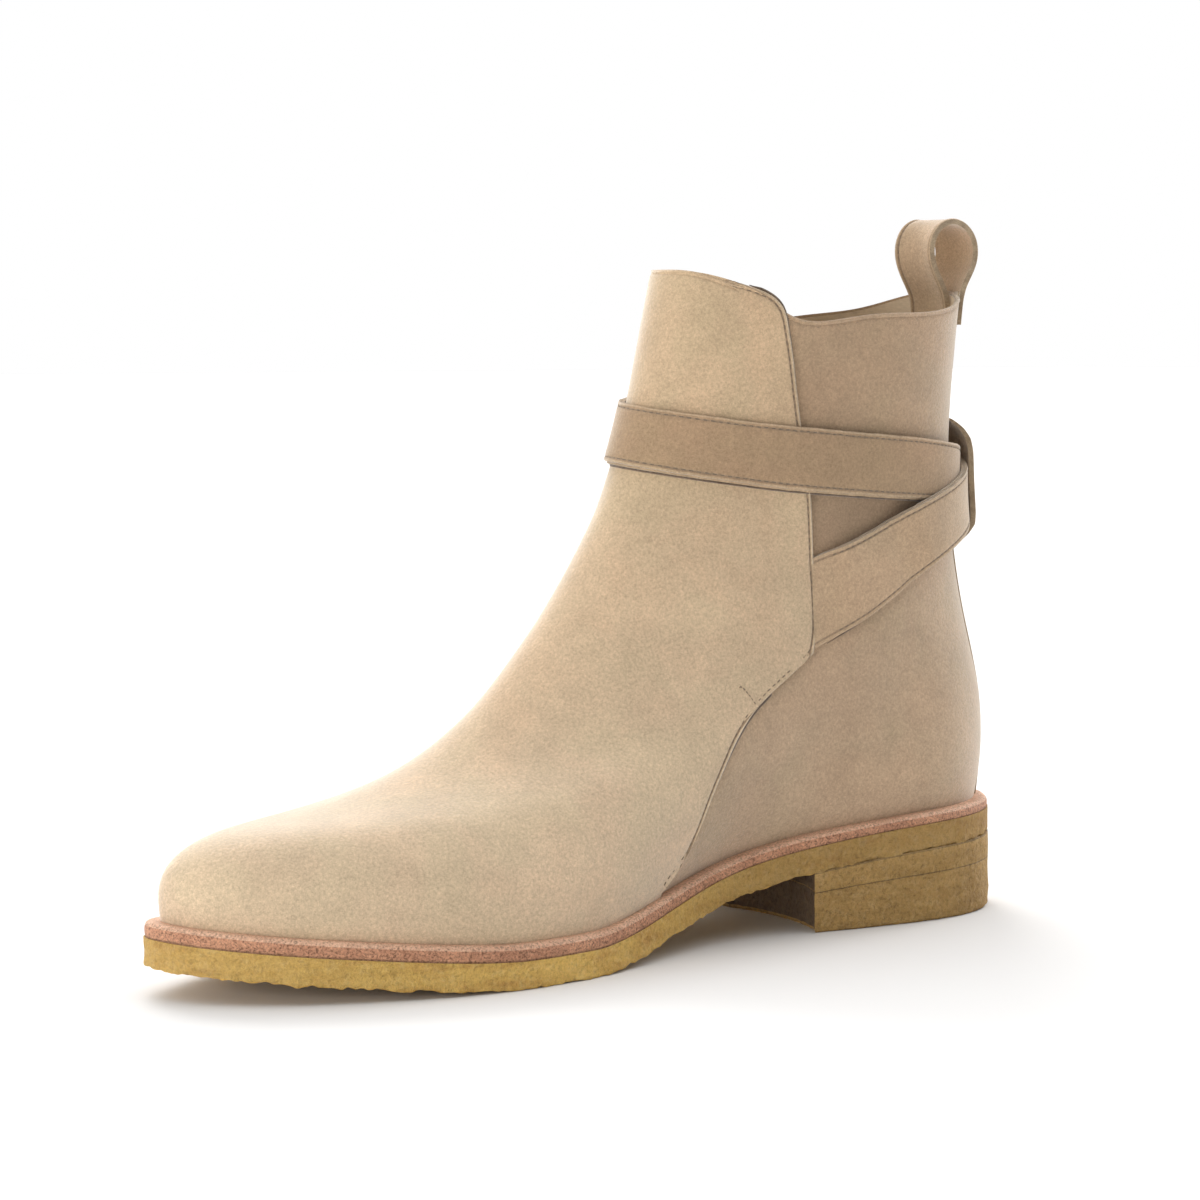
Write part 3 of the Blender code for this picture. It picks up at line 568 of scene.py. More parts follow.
# ------------------------------------------------------------ materials
class Nodes:
    """Small helper for one material's node tree."""

    def __init__(self, name, roughness, metallic=0.0):
        self.mat = bpy.data.materials.new(name)
        self.mat.use_nodes = True
        self.tree = self.mat.node_tree
        self.bsdf = self.tree.nodes["Principled BSDF"]
        self.bsdf.inputs["Roughness"].default_value = roughness
        self.bsdf.inputs["Metallic"].default_value = metallic
        self.coord = self.add("ShaderNodeTexCoord").outputs["Object"]

    def add(self, kind, **values):
        n = self.tree.nodes.new(kind)
        for k, x in values.items():
            if isinstance(x, (int, float, tuple)) and k in n.inputs:
                n.inputs[k].default_value = x
            else:
                setattr(n, k, x)
        return n

    def link(self, a, b):
        self.tree.links.new(a, b)

    def noise(self, scale, detail=3.0, rough=0.55, stretch=None, distortion=0.0):
        n = self.add("ShaderNodeTexNoise")
        n.inputs["Scale"].default_value = scale
        n.inputs["Detail"].default_value = detail
        n.inputs["Roughness"].default_value = rough
        n.inputs["Distortion"].default_value = distortion
        if stretch:
            m = self.add("ShaderNodeMapping")
            m.inputs["Scale"].default_value = stretch
            self.link(self.coord, m.inputs["Vector"])
            self.link(m.outputs["Vector"], n.inputs["Vector"])
        else:
            self.link(self.coord, n.inputs["Vector"])
        return n.outputs["Fac"]

    def cells(self, scale, feature="F1", smooth=0.0):
        n = self.add("ShaderNodeTexVoronoi")
        n.feature = feature
        n.inputs["Scale"].default_value = scale
        self.link(self.coord, n.inputs["Vector"])
        return n.outputs["Distance"]

    def ramp(self, value, stops):
        """Colour ramp, stops of (position, (r, g, b))."""
        n = self.add("ShaderNodeValToRGB")
        e = n.color_ramp.elements
        while len(e) < len(stops):
            e.new(0.5)
        for s, (pos, c) in zip(e, stops):
            s.position = pos
            s.color = (*c, 1.0) if isinstance(c, tuple) else (c, c, c, 1.0)
        self.link(value, n.inputs["Fac"])
        return n.outputs["Color"]

    def mix(self, fac, a, b, how="MIX"):
        n = self.add("ShaderNodeMix")
        n.data_type = "RGBA"
        n.blend_type = how
        n.clamp_factor = True
        for value, key in ((fac, 0), (a, 6), (b, 7)):
            if isinstance(value, (int, float)):
                n.inputs[key].default_value = value
            elif isinstance(value, tuple):
                n.inputs[key].default_value = (*value, 1.0)
            else:
                self.link(value, n.inputs[key])
        return n.outputs[2]

    def math(self, how, a, b=0.0, c=0.0):
        n = self.add("ShaderNodeMath")
        n.operation = how
        for i, value in enumerate((a, b, c)):
            if isinstance(value, (int, float)):
                n.inputs[i].default_value = value
            else:
                self.link(value, n.inputs[i])
        return n.outputs[0]

    def bump(self, height, strength, distance, under=None):
        n = self.add("ShaderNodeBump")
        n.inputs["Strength"].default_value = strength
        n.inputs["Distance"].default_value = distance
        self.link(height, n.inputs["Height"])
        if under is not None:
            self.link(under, n.inputs["Normal"])
        return n.outputs["Normal"]

    def finish(self, colour=None, normal=None, roughness=None):
        if colour is not None:
            self.link(colour, self.bsdf.inputs["Base Color"])
        if normal is not None:
            self.link(normal, self.bsdf.inputs["Normal"])
        if roughness is not None:
            self.link(roughness, self.bsdf.inputs["Roughness"])
        return self.mat


def suede(name, base, warm, cool, nap=1.0, sheen=0.8, shaft_shade=None):
    """Napped suede: faint clouds where the nap lies another way, and a fine fibrous grain.
    The last argument is how much of each colour is left at the top of the shaft: painted shade that darkens the suede
    going up it."""
    m = Nodes(name, 0.9)
    clouds = m.noise(11.0, 2.0, 0.5, distortion=0.3)
    patches = m.noise(34.0, 3.0, 0.5, distortion=0.5)
    brushed = m.noise(150.0, 2.0, 0.55)
    grain = m.noise(1100.0, 3.0, 0.7)
    fibre = m.noise(3400.0, 2.0, 0.7)
    hue = m.math("MULTIPLY_ADD", clouds, 0.45, m.math("MULTIPLY", m.noise(48.0, 2.0, 0.5, distortion=0.4), 0.55))
    col = m.ramp(hue, [(0.40, cool), (0.50, base), (0.60, warm)])
    # Painted shade: the colour darkens from 40 mm to 165 mm above the floor.
    if shaft_shade is not None:
        split = m.add("ShaderNodeSeparateXYZ")
        m.link(m.coord, split.inputs[0])
        shade_climb = m.math("MULTIPLY_ADD", split.outputs["Z"], 8.0, -0.32)
        col = m.mix(1.0, col, m.ramp(shade_climb, [(0.0, (1.0, 1.0, 1.0)), (1.0, shaft_shade)]), "MULTIPLY")
    for value, low, high in ((patches, 0.92, 1.06), (brushed, 0.955, 1.04), (grain, 0.80, 1.15), (fibre, 0.84, 1.13)):
        col = m.mix(1.0, col, m.ramp(value, [(0.30, low), (0.70, high)]), "MULTIPLY")
    n = m.bump(brushed, 0.30, 0.0003 * nap)
    n = m.bump(grain, 0.60, 0.00030 * nap, n)
    n = m.bump(fibre, 0.50, 0.00012 * nap, n)
    m.bsdf.inputs["Sheen Weight"].default_value = sheen
    m.bsdf.inputs["Sheen Roughness"].default_value = 0.42
    m.bsdf.inputs["Sheen Tint"].default_value = (1.0, 0.96, 0.90, 1.0)
    m.bsdf.inputs["Specular IOR Level"].default_value = 0.1
    return m.finish(col, n)


def raw_edge(name, light, dark):
    """Cut edge of split leather: fibrous, a little layered."""
    m = Nodes(name, 0.95)
    fib = m.noise(1500.0, 3.0, 0.7, stretch=(1.0, 1.0, 2.2))
    big = m.noise(240.0, 3.0, 0.6)
    col = m.mix(m.ramp(big, [(0.38, 0.0), (0.60, 1.0)]), dark, light)
    col = m.mix(1.0, col, m.ramp(fib, [(0.3, 0.74), (0.7, 1.14)]), "MULTIPLY")
    m.bsdf.inputs["Specular IOR Level"].default_value = 0.1
    m.bsdf.inputs["Sheen Weight"].default_value = 0.4
    return m.finish(col, m.bump(fib, 0.8, 0.0004))


def smooth_leather(name, light, dark, roughness=0.55, spot=0.9):
    """Vegetable-tanned leather: pores, faint drawn lines, uneven tan."""
    m = Nodes(name, roughness)
    tan = m.noise(45.0, 4.0, 0.6, distortion=0.8)
    pore = m.cells(1500.0)
    fine = m.noise(900.0, 3.0, 0.65)
    lines = m.noise(420.0, 3.0, 0.6, stretch=(1.0, 1.0, 5.0))
    col = m.ramp(tan, [(0.30, dark), (0.70, light)])
    col = m.mix(1.0, col, m.ramp(pore, [(0.0, spot), (0.35, 1.0)]), "MULTIPLY")
    col = m.mix(1.0, col, m.ramp(lines, [(0.3, 0.90), (0.7, 1.06)]), "MULTIPLY")
    col = m.mix(1.0, col, m.ramp(fine, [(0.3, 0.93), (0.7, 1.05)]), "MULTIPLY")
    n = m.bump(lines, 0.35, 0.0002, m.bump(pore, 0.3, 0.00015))
    rough = m.math("MULTIPLY_ADD", fine, 0.25, roughness - 0.12)
    return m.finish(col, n, rough)


def fibrous(name, light, dark, pit=0.5):
    """Cut and burnished edge of natural leather: coarse fibres and small dark pits."""
    m = Nodes(name, 0.62)
    tan = m.noise(60.0, 3.0, 0.6)
    fibre = m.noise(800.0, 4.0, 0.75, stretch=(1.0, 1.0, 1.6))
    pits = m.noise(1500.0, 3.0, 0.7)
    col = m.ramp(m.math("MULTIPLY_ADD", fibre, 0.6, m.math("MULTIPLY", tan, 0.4)), [(0.38, dark), (0.60, light)])
    col = m.mix(1.0, col, m.ramp(pits, [(0.36, pit), (0.48, 1.0), (0.66, 1.30)]), "MULTIPLY")
    n = m.bump(fibre, 0.9, 0.0008)
    n = m.bump(pits, 0.6, 0.0004, n)
    m.bsdf.inputs["Specular IOR Level"].default_value = 0.35
    return m.finish(col, n)


def crepe(name, deep, body, pale, curd_tint, curd_share, pebble=1.0, speck=0.62, along=False):
    """Natural crepe rubber: honey tones, small pale curds pressed together, an open rough skin."""
    m = Nodes(name, 0.8)
    clouds = m.noise(30.0, 3.0, 0.6, distortion=0.4)
    tint = m.noise(120.0, 3.0, 0.6, stretch=(0.5, 0.5, 2.4))
    curd = m.noise(430.0, 2.0, 0.6, distortion=0.3)
    pits = m.noise(760.0, 3.0, 0.7)
    fine = m.noise(1900.0, 3.0, 0.7)
    col = m.ramp(m.math("MULTIPLY_ADD", tint, 0.55, m.math("MULTIPLY", clouds, 0.45)), [(0.36, deep), (0.50, body), (0.64, pale)])
    col = m.mix(m.ramp(curd, [(0.50, 0.0), (0.70, curd_share)]), col, curd_tint)
    col = m.mix(1.0, col, m.ramp(pits, [(0.32, speck), (0.48, 1.0), (0.75, 1.12)]), "MULTIPLY")
    col = m.mix(1.0, col, m.ramp(fine, [(0.3, 0.84), (0.7, 1.12)]), "MULTIPLY")
    if along:
        # Darker at the toe tip, the waist and the heel, yellow at the ball: painted shade under the waist and at the
        # heel.
        split = m.add("ShaderNodeSeparateXYZ")
        m.link(m.coord, split.inputs[0])
        place = m.math("MULTIPLY_ADD", split.outputs["X"], 3.2, 0.5)
        col = m.mix(1.0, col, m.ramp(place, [(0.02, (0.71, 0.68, 0.70)), (0.16, (0.80, 0.79, 0.79)), (0.37, (1.0, 1.0, 1.0)), (0.52, (0.80, 0.77, 0.76)), (0.66, (0.58, 0.55, 0.62)), (0.98, (0.55, 0.51, 0.60))]), "MULTIPLY")
    n = m.bump(curd, 0.80, 0.0009 * pebble)
    n = m.bump(pits, 0.80, 0.0008 * pebble, n)
    n = m.bump(fine, 0.50, 0.0002 * pebble, n)
    m.bsdf.inputs["Subsurface Weight"].default_value = 0.15
    m.bsdf.inputs["Subsurface Radius"].default_value = (1.0, 0.6, 0.2)
    m.bsdf.inputs["Subsurface Scale"].default_value = 0.003
    m.bsdf.inputs["Specular IOR Level"].default_value = 0.3
    return m.finish(col, n)


def brass(name, bright, dull, roughness):
    """Antique brass: bright where rubbed, brown where the tarnish stays."""
    m = Nodes(name, roughness, 1.0)
    blot = m.noise(260.0, 4.0, 0.65, distortion=0.5)
    scratch = m.noise(1400.0, 2.0, 0.6, stretch=(0.25, 0.25, 3.0))
    col = m.ramp(blot, [(0.36, dull), (0.62, bright)])
    rough = m.math("MULTIPLY_ADD", blot, 0.30, roughness - 0.15)
    return m.finish(col, m.bump(scratch, 0.25, 0.00008, m.bump(blot, 0.3, 0.0002)), rough)


def yarn(name, colour):
    m = Nodes(name, 0.8)
    twist = m.noise(2200.0, 2.0, 0.6, stretch=(1.0, 1.0, 0.6))
    col = m.mix(1.0, colour, m.ramp(twist, [(0.3, 0.72), (0.7, 1.12)]), "MULTIPLY")
    m.bsdf.inputs["Sheen Weight"].default_value = 0.2
    return m.finish(col, m.bump(twist, 0.6, 0.00015))


# The vamp's suede is lighter than the quarters': partly its own tone, partly painted light.
SUEDE = suede("sand_suede", (0.628, 0.474, 0.319), (0.652, 0.480, 0.321), (0.606, 0.470, 0.313), 1.0, 0.9, (0.88, 0.85, 0.80))
# A darker copy of the quarters' suede: painted shade.
SUEDE_PAINTED_SHADE = suede("sand_suede_painted_shade", (0.375, 0.262, 0.170), (0.390, 0.268, 0.174), (0.360, 0.256, 0.165), 1.0, 0.4)
SUEDE_QUARTER = suede("sand_suede_quarter", (0.500, 0.360, 0.236), (0.524, 0.369, 0.241), (0.480, 0.354, 0.229), 1.15, 0.9, (0.86, 0.83, 0.80))
SUEDE_STRAP = suede("sand_suede_strap", (0.395, 0.268, 0.163), (0.410, 0.272, 0.166), (0.382, 0.264, 0.159), 1.0, 0.6)
SUEDE_LOOP = suede("sand_suede_loop", (0.490, 0.348, 0.222), (0.508, 0.354, 0.226), (0.474, 0.342, 0.216), 1.0, 0.6)
# A darker copy of the suede for the stitch grooves: painted shade.
GROOVE_SHADE = suede("stitch_groove_painted_shade", (0.345, 0.248, 0.162), (0.356, 0.252, 0.164), (0.334, 0.242, 0.157), 1.0, 0.4)
# Dark colour for cords that are painted shadow along seams and strap edges.
SEAM_SHADOW = raw_edge("painted_seam_shadow", (0.215, 0.155, 0.106), (0.145, 0.103, 0.072))
EDGE = raw_edge("suede_cut_edge", (0.440, 0.335, 0.220), (0.330, 0.245, 0.158))
SEAM_MARGIN = suede("suede_margin", (0.490, 0.352, 0.226), (0.506, 0.356, 0.228), (0.474, 0.346, 0.221), 1.2, 0.8)
MARGIN_VAMP = suede("suede_margin_vamp", (0.640, 0.495, 0.340), (0.655, 0.500, 0.344), (0.624, 0.490, 0.336), 1.2, 0.9, (0.78, 0.76, 0.72))
LINING = smooth_leather("lining_leather", (0.600, 0.470, 0.320), (0.540, 0.410, 0.265), 0.6)
INSOLE = smooth_leather("insole_leather", (0.560, 0.400, 0.240), (0.470, 0.320, 0.180), 0.5)
WELT = fibrous("welt_leather", (0.640, 0.330, 0.195), (0.400, 0.185, 0.105), 0.42)
# Lighter and darker copies of the welt leather: painted highlight on its top edge, painted shade at its foot.
WELT_TOP_HIGHLIGHT = fibrous("welt_rim_painted_highlight", (0.740, 0.470, 0.320), (0.560, 0.320, 0.205), 0.55)
WELT_FOOT_SHADE = fibrous("welt_foot_painted_shade", (0.400, 0.215, 0.125), (0.240, 0.125, 0.070), 0.45)
# Its colour darkens towards the waist and the heel: painted shade.
CREPE_SIDE = crepe("crepe_side", (0.530, 0.310, 0.088), (0.655, 0.425, 0.120), (0.735, 0.495, 0.152), (0.760, 0.545, 0.215), 0.4, 0.8, 0.76, True)
# A darker copy of the crepe for the heel block: painted shade.
CREPE_HEEL_SHADE = crepe("crepe_heel_painted_shade", (0.292, 0.172, 0.058), (0.385, 0.236, 0.082), (0.450, 0.282, 0.102), (0.500, 0.335, 0.145), 0.5, 1.2, 0.68)
CREPE_RIM = crepe("crepe_rim", (0.500, 0.285, 0.068), (0.590, 0.350, 0.088), (0.640, 0.395, 0.112), (0.720, 0.500, 0.220), 0.4, 1.1, 0.75)
CREPE_JOINT = crepe("crepe_joint", (0.150, 0.090, 0.036), (0.235, 0.148, 0.060), (0.300, 0.195, 0.082), (0.34, 0.23, 0.11), 0.5)
# A near-black copy of the crepe for the heel's breast: painted shade.
CREPE_BREAST_SHADE = crepe("crepe_breast_painted_shade", (0.095, 0.058, 0.034), (0.125, 0.080, 0.046), (0.150, 0.100, 0.058), (0.18, 0.125, 0.075), 0.5)
CREPE_TREAD = crepe("crepe_tread", (0.520, 0.300, 0.085), (0.600, 0.360, 0.115), (0.640, 0.400, 0.140), (0.800, 0.600, 0.350), 0.55, 1.2)
BRASS_FACE = brass("antique_brass_rubbed", (0.72, 0.60, 0.30), (0.42, 0.33, 0.14), 0.34)
BRASS_SIDE = brass("antique_brass_dark", (0.24, 0.19, 0.10), (0.10, 0.075, 0.045), 0.48)
THREAD = yarn("suede_thread", (0.200, 0.145, 0.095))
SOLE_THREAD = yarn("sole_thread", (0.78, 0.68, 0.50))


# ------------------------------------------------------------ upper
BUCKLE_MIDDLE = np.array([BUCKLE_X, 30.0, BUCKLE_Z])


def swell(tv):
    """relief() faded out at the feather edge and under the buckle."""
    p = surf(tv[..., 0], tv[..., 1])
    foot = smooth(p[..., 2] - sole_z(p[..., 0]) - FEATHER_RISE, 0.5, 9.0)
    seat = smooth(np.linalg.norm(p - BUCKLE_MIDDLE, axis=-1), 16.0, 34.0)
    return relief(p) * foot * seat


def body(tv, height, rise=None):
    rise = swell(tv) if rise is None else rise
    return lift(tv, np.asarray(height) + rise)


def quarter_top(v):
    """Height of the quarters' top edge, just below the flap's where they run under it."""
    under = smooth(v, 0.345, 0.385) * (1 - smooth(v, 0.705, 0.735))
    return top_line(v) - 0.7 * under


AROUND = 232
vs = np.arange(AROUND) / AROUND
t_top = at_height(vs, quarter_top(vs))
grid = np.stack([np.linspace(-0.01, 1, 110)[:, None] * t_top[None, :], np.repeat(vs[None, :], 110, 0)], -1)
grid = resample(grid, spaced(92, high=True), 0)
pts = surf(grid[..., 0], grid[..., 1])
up_to_rim = np.linalg.norm(pts - pts[-1:], axis=-1)
rise = swell(grid)
outer = body(grid, QUARTER_LIFT - edge_drop(up_to_rim), rise)
inner = body(grid, QUARTER_LIFT - QUARTER_T, rise)
quarters = shell("quarters", outer, inner, [SUEDE_QUARTER, SUEDE_PAINTED_SHADE, EDGE], closed=True)
# Painted shade: the quarters are darker in the corner between the two straps on the inner side.
wrap_v, wrap_mid, buckle_in, buckle_mid = [c[0] for c in WRAP_STRAP], [c[1] for c in WRAP_STRAP], [c[0] for c in BUCKLE_STRAP], [c[1] for c in BUCKLE_STRAP]
for j in range(AROUND):
    if 0.10 < vs[j] < 0.32:
        low = np.interp(-vs[j], [-x for x in buckle_in], buckle_mid) if vs[j] < 0.246 else 101.2
        high = np.interp(vs[j] + 1, wrap_v, wrap_mid)
        for i in range(len(outer) - 1):
            if low < outer[i, j, 2] < high:
                quarters.data.polygons[i * AROUND + j].material_index = 1
carry(quarters, "suede", "upper")

rows = np.linspace(-0.01, 1, 80)
t_lining = at_height(vs[::2], quarter_top(vs[::2]) - 0.9)
grid = np.stack([rows[:, None] * t_lining[None, :], np.repeat(vs[None, ::2], 80, 0)], -1)
rise = swell(grid)
carry(shell("quarter_lining", body(grid, LINING_LIFT, rise), body(grid, LINING_LIFT - LINING_T, rise), [LINING, EDGE], closed=True), "suede")

# Vamp and front flap in one panel. Its two edges, as (x, z) from bottom to top.
VAMP_INNER = [
    [(-150.5, 12.6), (-150.5, 17.5), (-148.6, 21.5), (-142.0, 28.2), (-137.6, 35.5), (-133.2, 45.6), (-127.9, 55.0),
     (-122.8, 62.3), (-116.6, 68.8), (-107.0, 75.7), (-99.6, 80.2), (-90.0, 86.2)],
    [(-90.0, 86.2), (-88.5, 92.0), (-88.0, 100.0), (-88.2, 107.0), (-88.5, 113.0)],
    [(-88.5, 113.0), (-88.8, 122.0), (-89.2, 135.0), (-90.5, 145.0), (-92.0, 155.0), (-94.0, 172.0), (-96.0, 186.0)],
    [(-96.0, 186.0), (-97.6, 191.2), (-100.6, 194.2), (-105.0, 196.4), (-111.0, 198.6)],
]
VAMP_OUTER = [
    [(-158.6, 11.8), (-158.0, 16.9), (-156.6, 23.0), (-153.6, 31.5), (-149.6, 40.0), (-143.6, 48.5), (-136.0, 57.0),
     (-128.0, 66.0), (-121.0, 73.6), (-113.2, 79.2), (-105.7, 81.4), (-98.0, 83.4), (-88.0, 89.0)],
    [(-88.0, 89.0), (-87.2, 97.0), (-86.6, 105.0), (-86.2, 113.0), (-86.0, 121.0)],
    [(-86.0, 121.0), (-85.6, 131.0), (-82.4, 137.0), (-77.0, 144.0), (-73.4, 152.0), (-71.0, 162.0), (-70.3, 172.0), (-70.3, 183.0)],
    [(-70.3, 183.0), (-71.4, 188.4), (-74.2, 192.2), (-79.0, 195.0), (-85.5, 197.0)],
]
STEPS = (78, 26, 54, 18)
left = polyline(-1, VAMP_INNER, STEPS)
right = polyline(1, VAMP_OUTER, STEPS)
cross = np.linspace(0, 1, 260)
foot_t = np.interp(cross, [0, 1], [left[0, 0], right[0, 0]])
bottom = np.stack([foot_t - 0.0, left[0, 1] + (right[0, 1] - left[0, 1]) * cross], -1)
bottom[:, 0] = np.minimum(bottom[:, 0], -0.012)
left[0, 0] = right[0, 0] = -0.012
bottom[0], bottom[-1] = left[0], right[0]
top_v = left[-1, 1] + (right[-1, 1] - left[-1, 1]) * cross
top = np.stack([at_height(top_v, top_line(top_v)), top_v], -1)
left[-1], right[-1] = top[0], top[-1]
vamp = coons(left, right, bottom, top, rows=len(left), cols=240)


def slant(a, b):
    """How much longer than the straight distance from an edge the rows are, per row."""
    p, q = surf(a[:, 0], a[:, 1]), surf(b[:, 0], b[:, 1])
    along = np.gradient(p, axis=0)
    along /= np.linalg.norm(along, axis=1, keepdims=True)
    row = q - p
    row /= np.linalg.norm(row, axis=1, keepdims=True)
    s = np.sqrt(np.clip(1 - (along * row).sum(1) ** 2, 0.16, 1))
    return 1 / np.convolve(np.pad(s, 3, mode="edge"), np.ones(7) / 7, mode="valid")


def edged(tv, count, stretch_low, stretch_high):
    """Grid whose rows are cut again with close steps at both ends."""
    pts = surf(tv[..., 0], tv[..., 1])
    out = []
    for line, p, a, b in zip(tv, pts, stretch_low, stretch_high):
        s = np.concatenate([[0], np.cumsum(np.linalg.norm(np.diff(p, axis=0), axis=1))])
        lo, hi = EDGE_STEPS * a, s[-1] - EDGE_STEPS[::-1] * b
        w = np.concatenate([lo[:-1], np.linspace(lo[-1], hi[0], count + 1), hi[1:]])
        out.append(np.stack([np.interp(w, s, line[:, 0]), np.interp(w, s, line[:, 1])], -1))
    return np.array(out)


def distance(pts, line):
    """Distance of points from a polyline."""
    a, d = line[:-1], np.diff(line, axis=0)
    dd = (d * d).sum(1) + 1e-9
    flat = pts.reshape(-1, 3)
    best = np.full(len(flat), 1e9)
    for i in range(len(a)):
        k = np.clip(((flat - a[i]) @ d[i]) / dd[i], 0, 1)
        best = np.minimum(best, np.linalg.norm(flat - a[i] - k[:, None] * d[i], axis=1))
    return best.reshape(pts.shape[:-1])


vamp = edged(vamp, 132, slant(vamp[:, 0], vamp[:, 3]), slant(vamp[:, -1], vamp[:, -4]))
pts = surf(vamp[..., 0], vamp[..., 1])
line_in, line_out, line_top = pts[:, 0], pts[:, -1], pts[-1]
NEAR = 16
d_in, d_out = np.full(pts.shape[:2], 99.0), np.full(pts.shape[:2], 99.0)
d_in[:, :NEAR] = distance(pts[:, :NEAR], line_in)
d_out[:, -NEAR:] = distance(pts[:, -NEAR:], line_out)
d_top = np.full(pts.shape[:2], 99.0)
d_top[-14:] = distance(pts[-14:], line_top)
row = np.arange(len(vamp))
k1, k2, k3 = STEPS[0], STEPS[0] + STEPS[1], STEPS[0] + STEPS[1] + STEPS[2]
gape_out = 1.5 * smooth(row, 0.66 * k1, 0.82 * k1) * (1 - smooth(row, k1 - 2, k1 + 5)) + 1.0 * smooth(row, k2 - 6, k2 + 3) * (1 - smooth(row, k2 + 12, k2 + 22))
gape_in = 0.40 * smooth(row, 0.5 * k1, 0.8 * k1) * (1 - smooth(row, k1 - 2, k1 + 4)) + 0.55 * smooth(row, k2 - 2, k2 + 10) * (1 - smooth(row, k3 - 8, k3 + 6))
opened = gape_in[:, None] * np.exp(-(d_in / 8.0) ** 2) + gape_out[:, None] * np.exp(-(d_out / 8.0) ** 2)
drop = edge_drop(d_in) + edge_drop(d_out) + np.where(d_top < 6, edge_drop(d_top), 0)
foot = smooth(pts[..., 2] - sole_z(pts[..., 0]) - FEATHER_RISE, 0.0, 3.0)
rise = swell(vamp) + opened
outer = body(vamp, PANEL_LIFT - drop * foot, rise)
inner = body(vamp, PANEL_LIFT - PANEL_T + 0.05 + 0.0 * drop, rise)
carry(shell("vamp", outer, inner, [SUEDE, GROOVE_SHADE, MARGIN_VAMP, EDGE], trim=3), "suede")


def beside(edge_tv, next_tv, away, height):
    """Line of (points, normals) on the quarters, away from a panel's edge."""
    p, q = surf(edge_tv[:, 0], edge_tv[:, 1]), surf(next_tv[:, 0], next_tv[:, 1])
    n = normal(edge_tv[:, 0], edge_tv[:, 1])
    d = np.cross(np.gradient(p, axis=0), n)
    d /= np.linalg.norm(d, axis=1, keepdims=True)
    d *= np.sign((d * (p - q)).sum(1))[:, None]
    return p + d * away + n * (height + swell(edge_tv))[:, None], n


# Painted shadow: a dark cord on the quarters beside the vamp's raised edges.
vamp_shadow_lines = [beside(vamp[4:k1 + 2, 0], vamp[4:k1 + 2, 2], 0.75, QUARTER_LIFT - 0.18),
            beside(vamp[4:k1 + 2, -1], vamp[4:k1 + 2, -3], 0.55, QUARTER_LIFT - 0.12),
            beside(vamp[k2 - 4:-4, -1], vamp[k2 - 4:-4, -3], 0.45, QUARTER_LIFT - 0.15),
            beside(vamp[k2 - 4:-4, 0], vamp[k2 - 4:-4, 2], 0.45, QUARTER_LIFT - 0.15)]
carry(cord("vamp_underlay", vamp_shadow_lines, SEAM_SHADOW, 0.60), "suede")


def seam_on(tv, height, offset_from):
    """Line of stitches: (points, normals) along a (t, v) line."""
    return body(tv, height, swell(tv) + offset_from), normal(tv[:, 0], tv[:, 1])


def inset_line(tv, d, want, from_start=True):
    """(t, v) on every row of a grid where the distance d from an edge is want."""
    out = []
    for line, dist in zip(tv, d):
        m = dist[:NEAR] if from_start else dist[::-1][:NEAR]
        l = line[:NEAR] if from_start else line[::-1][:NEAR]
        out.append([np.interp(want, m, l[:, 0]), np.interp(want, m, l[:, 1])])
    return np.array(out)


seams = []
stitch_lift = PANEL_LIFT - 0.16
tv_in = inset_line(vamp, d_in, SEAM_INSET)
tv_out = inset_line(vamp, d_out, SEAM_INSET, False)
extra_in, extra_out = gape_in * math.exp(-(SEAM_INSET / 8) ** 2), gape_out * math.exp(-(SEAM_INSET / 8) ** 2)
seams.append(seam_on(tv_in[3:k1 + 1], stitch_lift, extra_in[3:k1 + 1]))
seams.append(seam_on(tv_in[k1 + 1:k2 + 1], stitch_lift, extra_in[k1 + 1:k2 + 1]))
seams.append(seam_on(tv_in[k2 + 1:-4], stitch_lift, extra_in[k2 + 1:-4]))
seams.append(seam_on(tv_out[3:int(0.70 * k1)], stitch_lift, extra_out[3:int(0.70 * k1)]))
seams.append(seam_on(tv_out[k1 + 1:k2 + 1], stitch_lift, extra_out[k1 + 1:k2 + 1]))
seams.append(seam_on(tv_out[k2 + 1:-4], stitch_lift, extra_out[k2 + 1:-4]))

# Rim seam of flap and quarters.
v_a, v_b = tv_in[-3, 1], tv_out[-3, 1]
rim_v = np.linspace(v_a, v_b, 120)
rim = np.stack([at_height(rim_v, top_line(rim_v) - 2.0), rim_v], -1)
seams.append(seam_on(rim, stitch_lift, 0.0))
rim_v = np.linspace(0.745, 1.325, 240)
rim = np.stack([at_height(rim_v % 1.0, top_line(rim_v % 1.0) - 2.0), rim_v % 1.0], -1)
keep = np.abs((rim_v + 0.5) % 1.0 - 0.5) > 0.045
for part in (rim[(rim_v < 1.0) & keep], rim[(rim_v > 1.0) & keep]):
    seams.append(seam_on(part, QUARTER_LIFT - 0.12, 0.0))

# Bar tack where the inner seam turns back.
TACK = [(-113.6, 71.6), (-115.0, 73.6), (-116.4, 75.6), (-117.6, 77.3), (-118.8, 77.9), (-119.6, 76.8)]
tack_t, tack_v = locate(-1, TACK)
tack = np.stack([tack_t, tack_v], -1)
tack_pts, tack_nrm = body(tack, PANEL_LIFT + 0.10), normal(tack[:, 0], tack[:, 1])

# ------------------------------------------------------------ backstay
BACKSTAY = [(30.0, 18.0), (35.0, 17.2), (39.0, 16.2), (47.0, 14.8), (55.0, 13.6), (66.0, 12.1), (76.0, 11.1), (88.0, 10.1),
            (100.0, 9.5), (118.0, 9.5), (140.0, 9.8), (159.0, 10.2), (178.0, 11.0), (199.0, 12.1)]
half_width = spline(*columns(BACKSTAY))


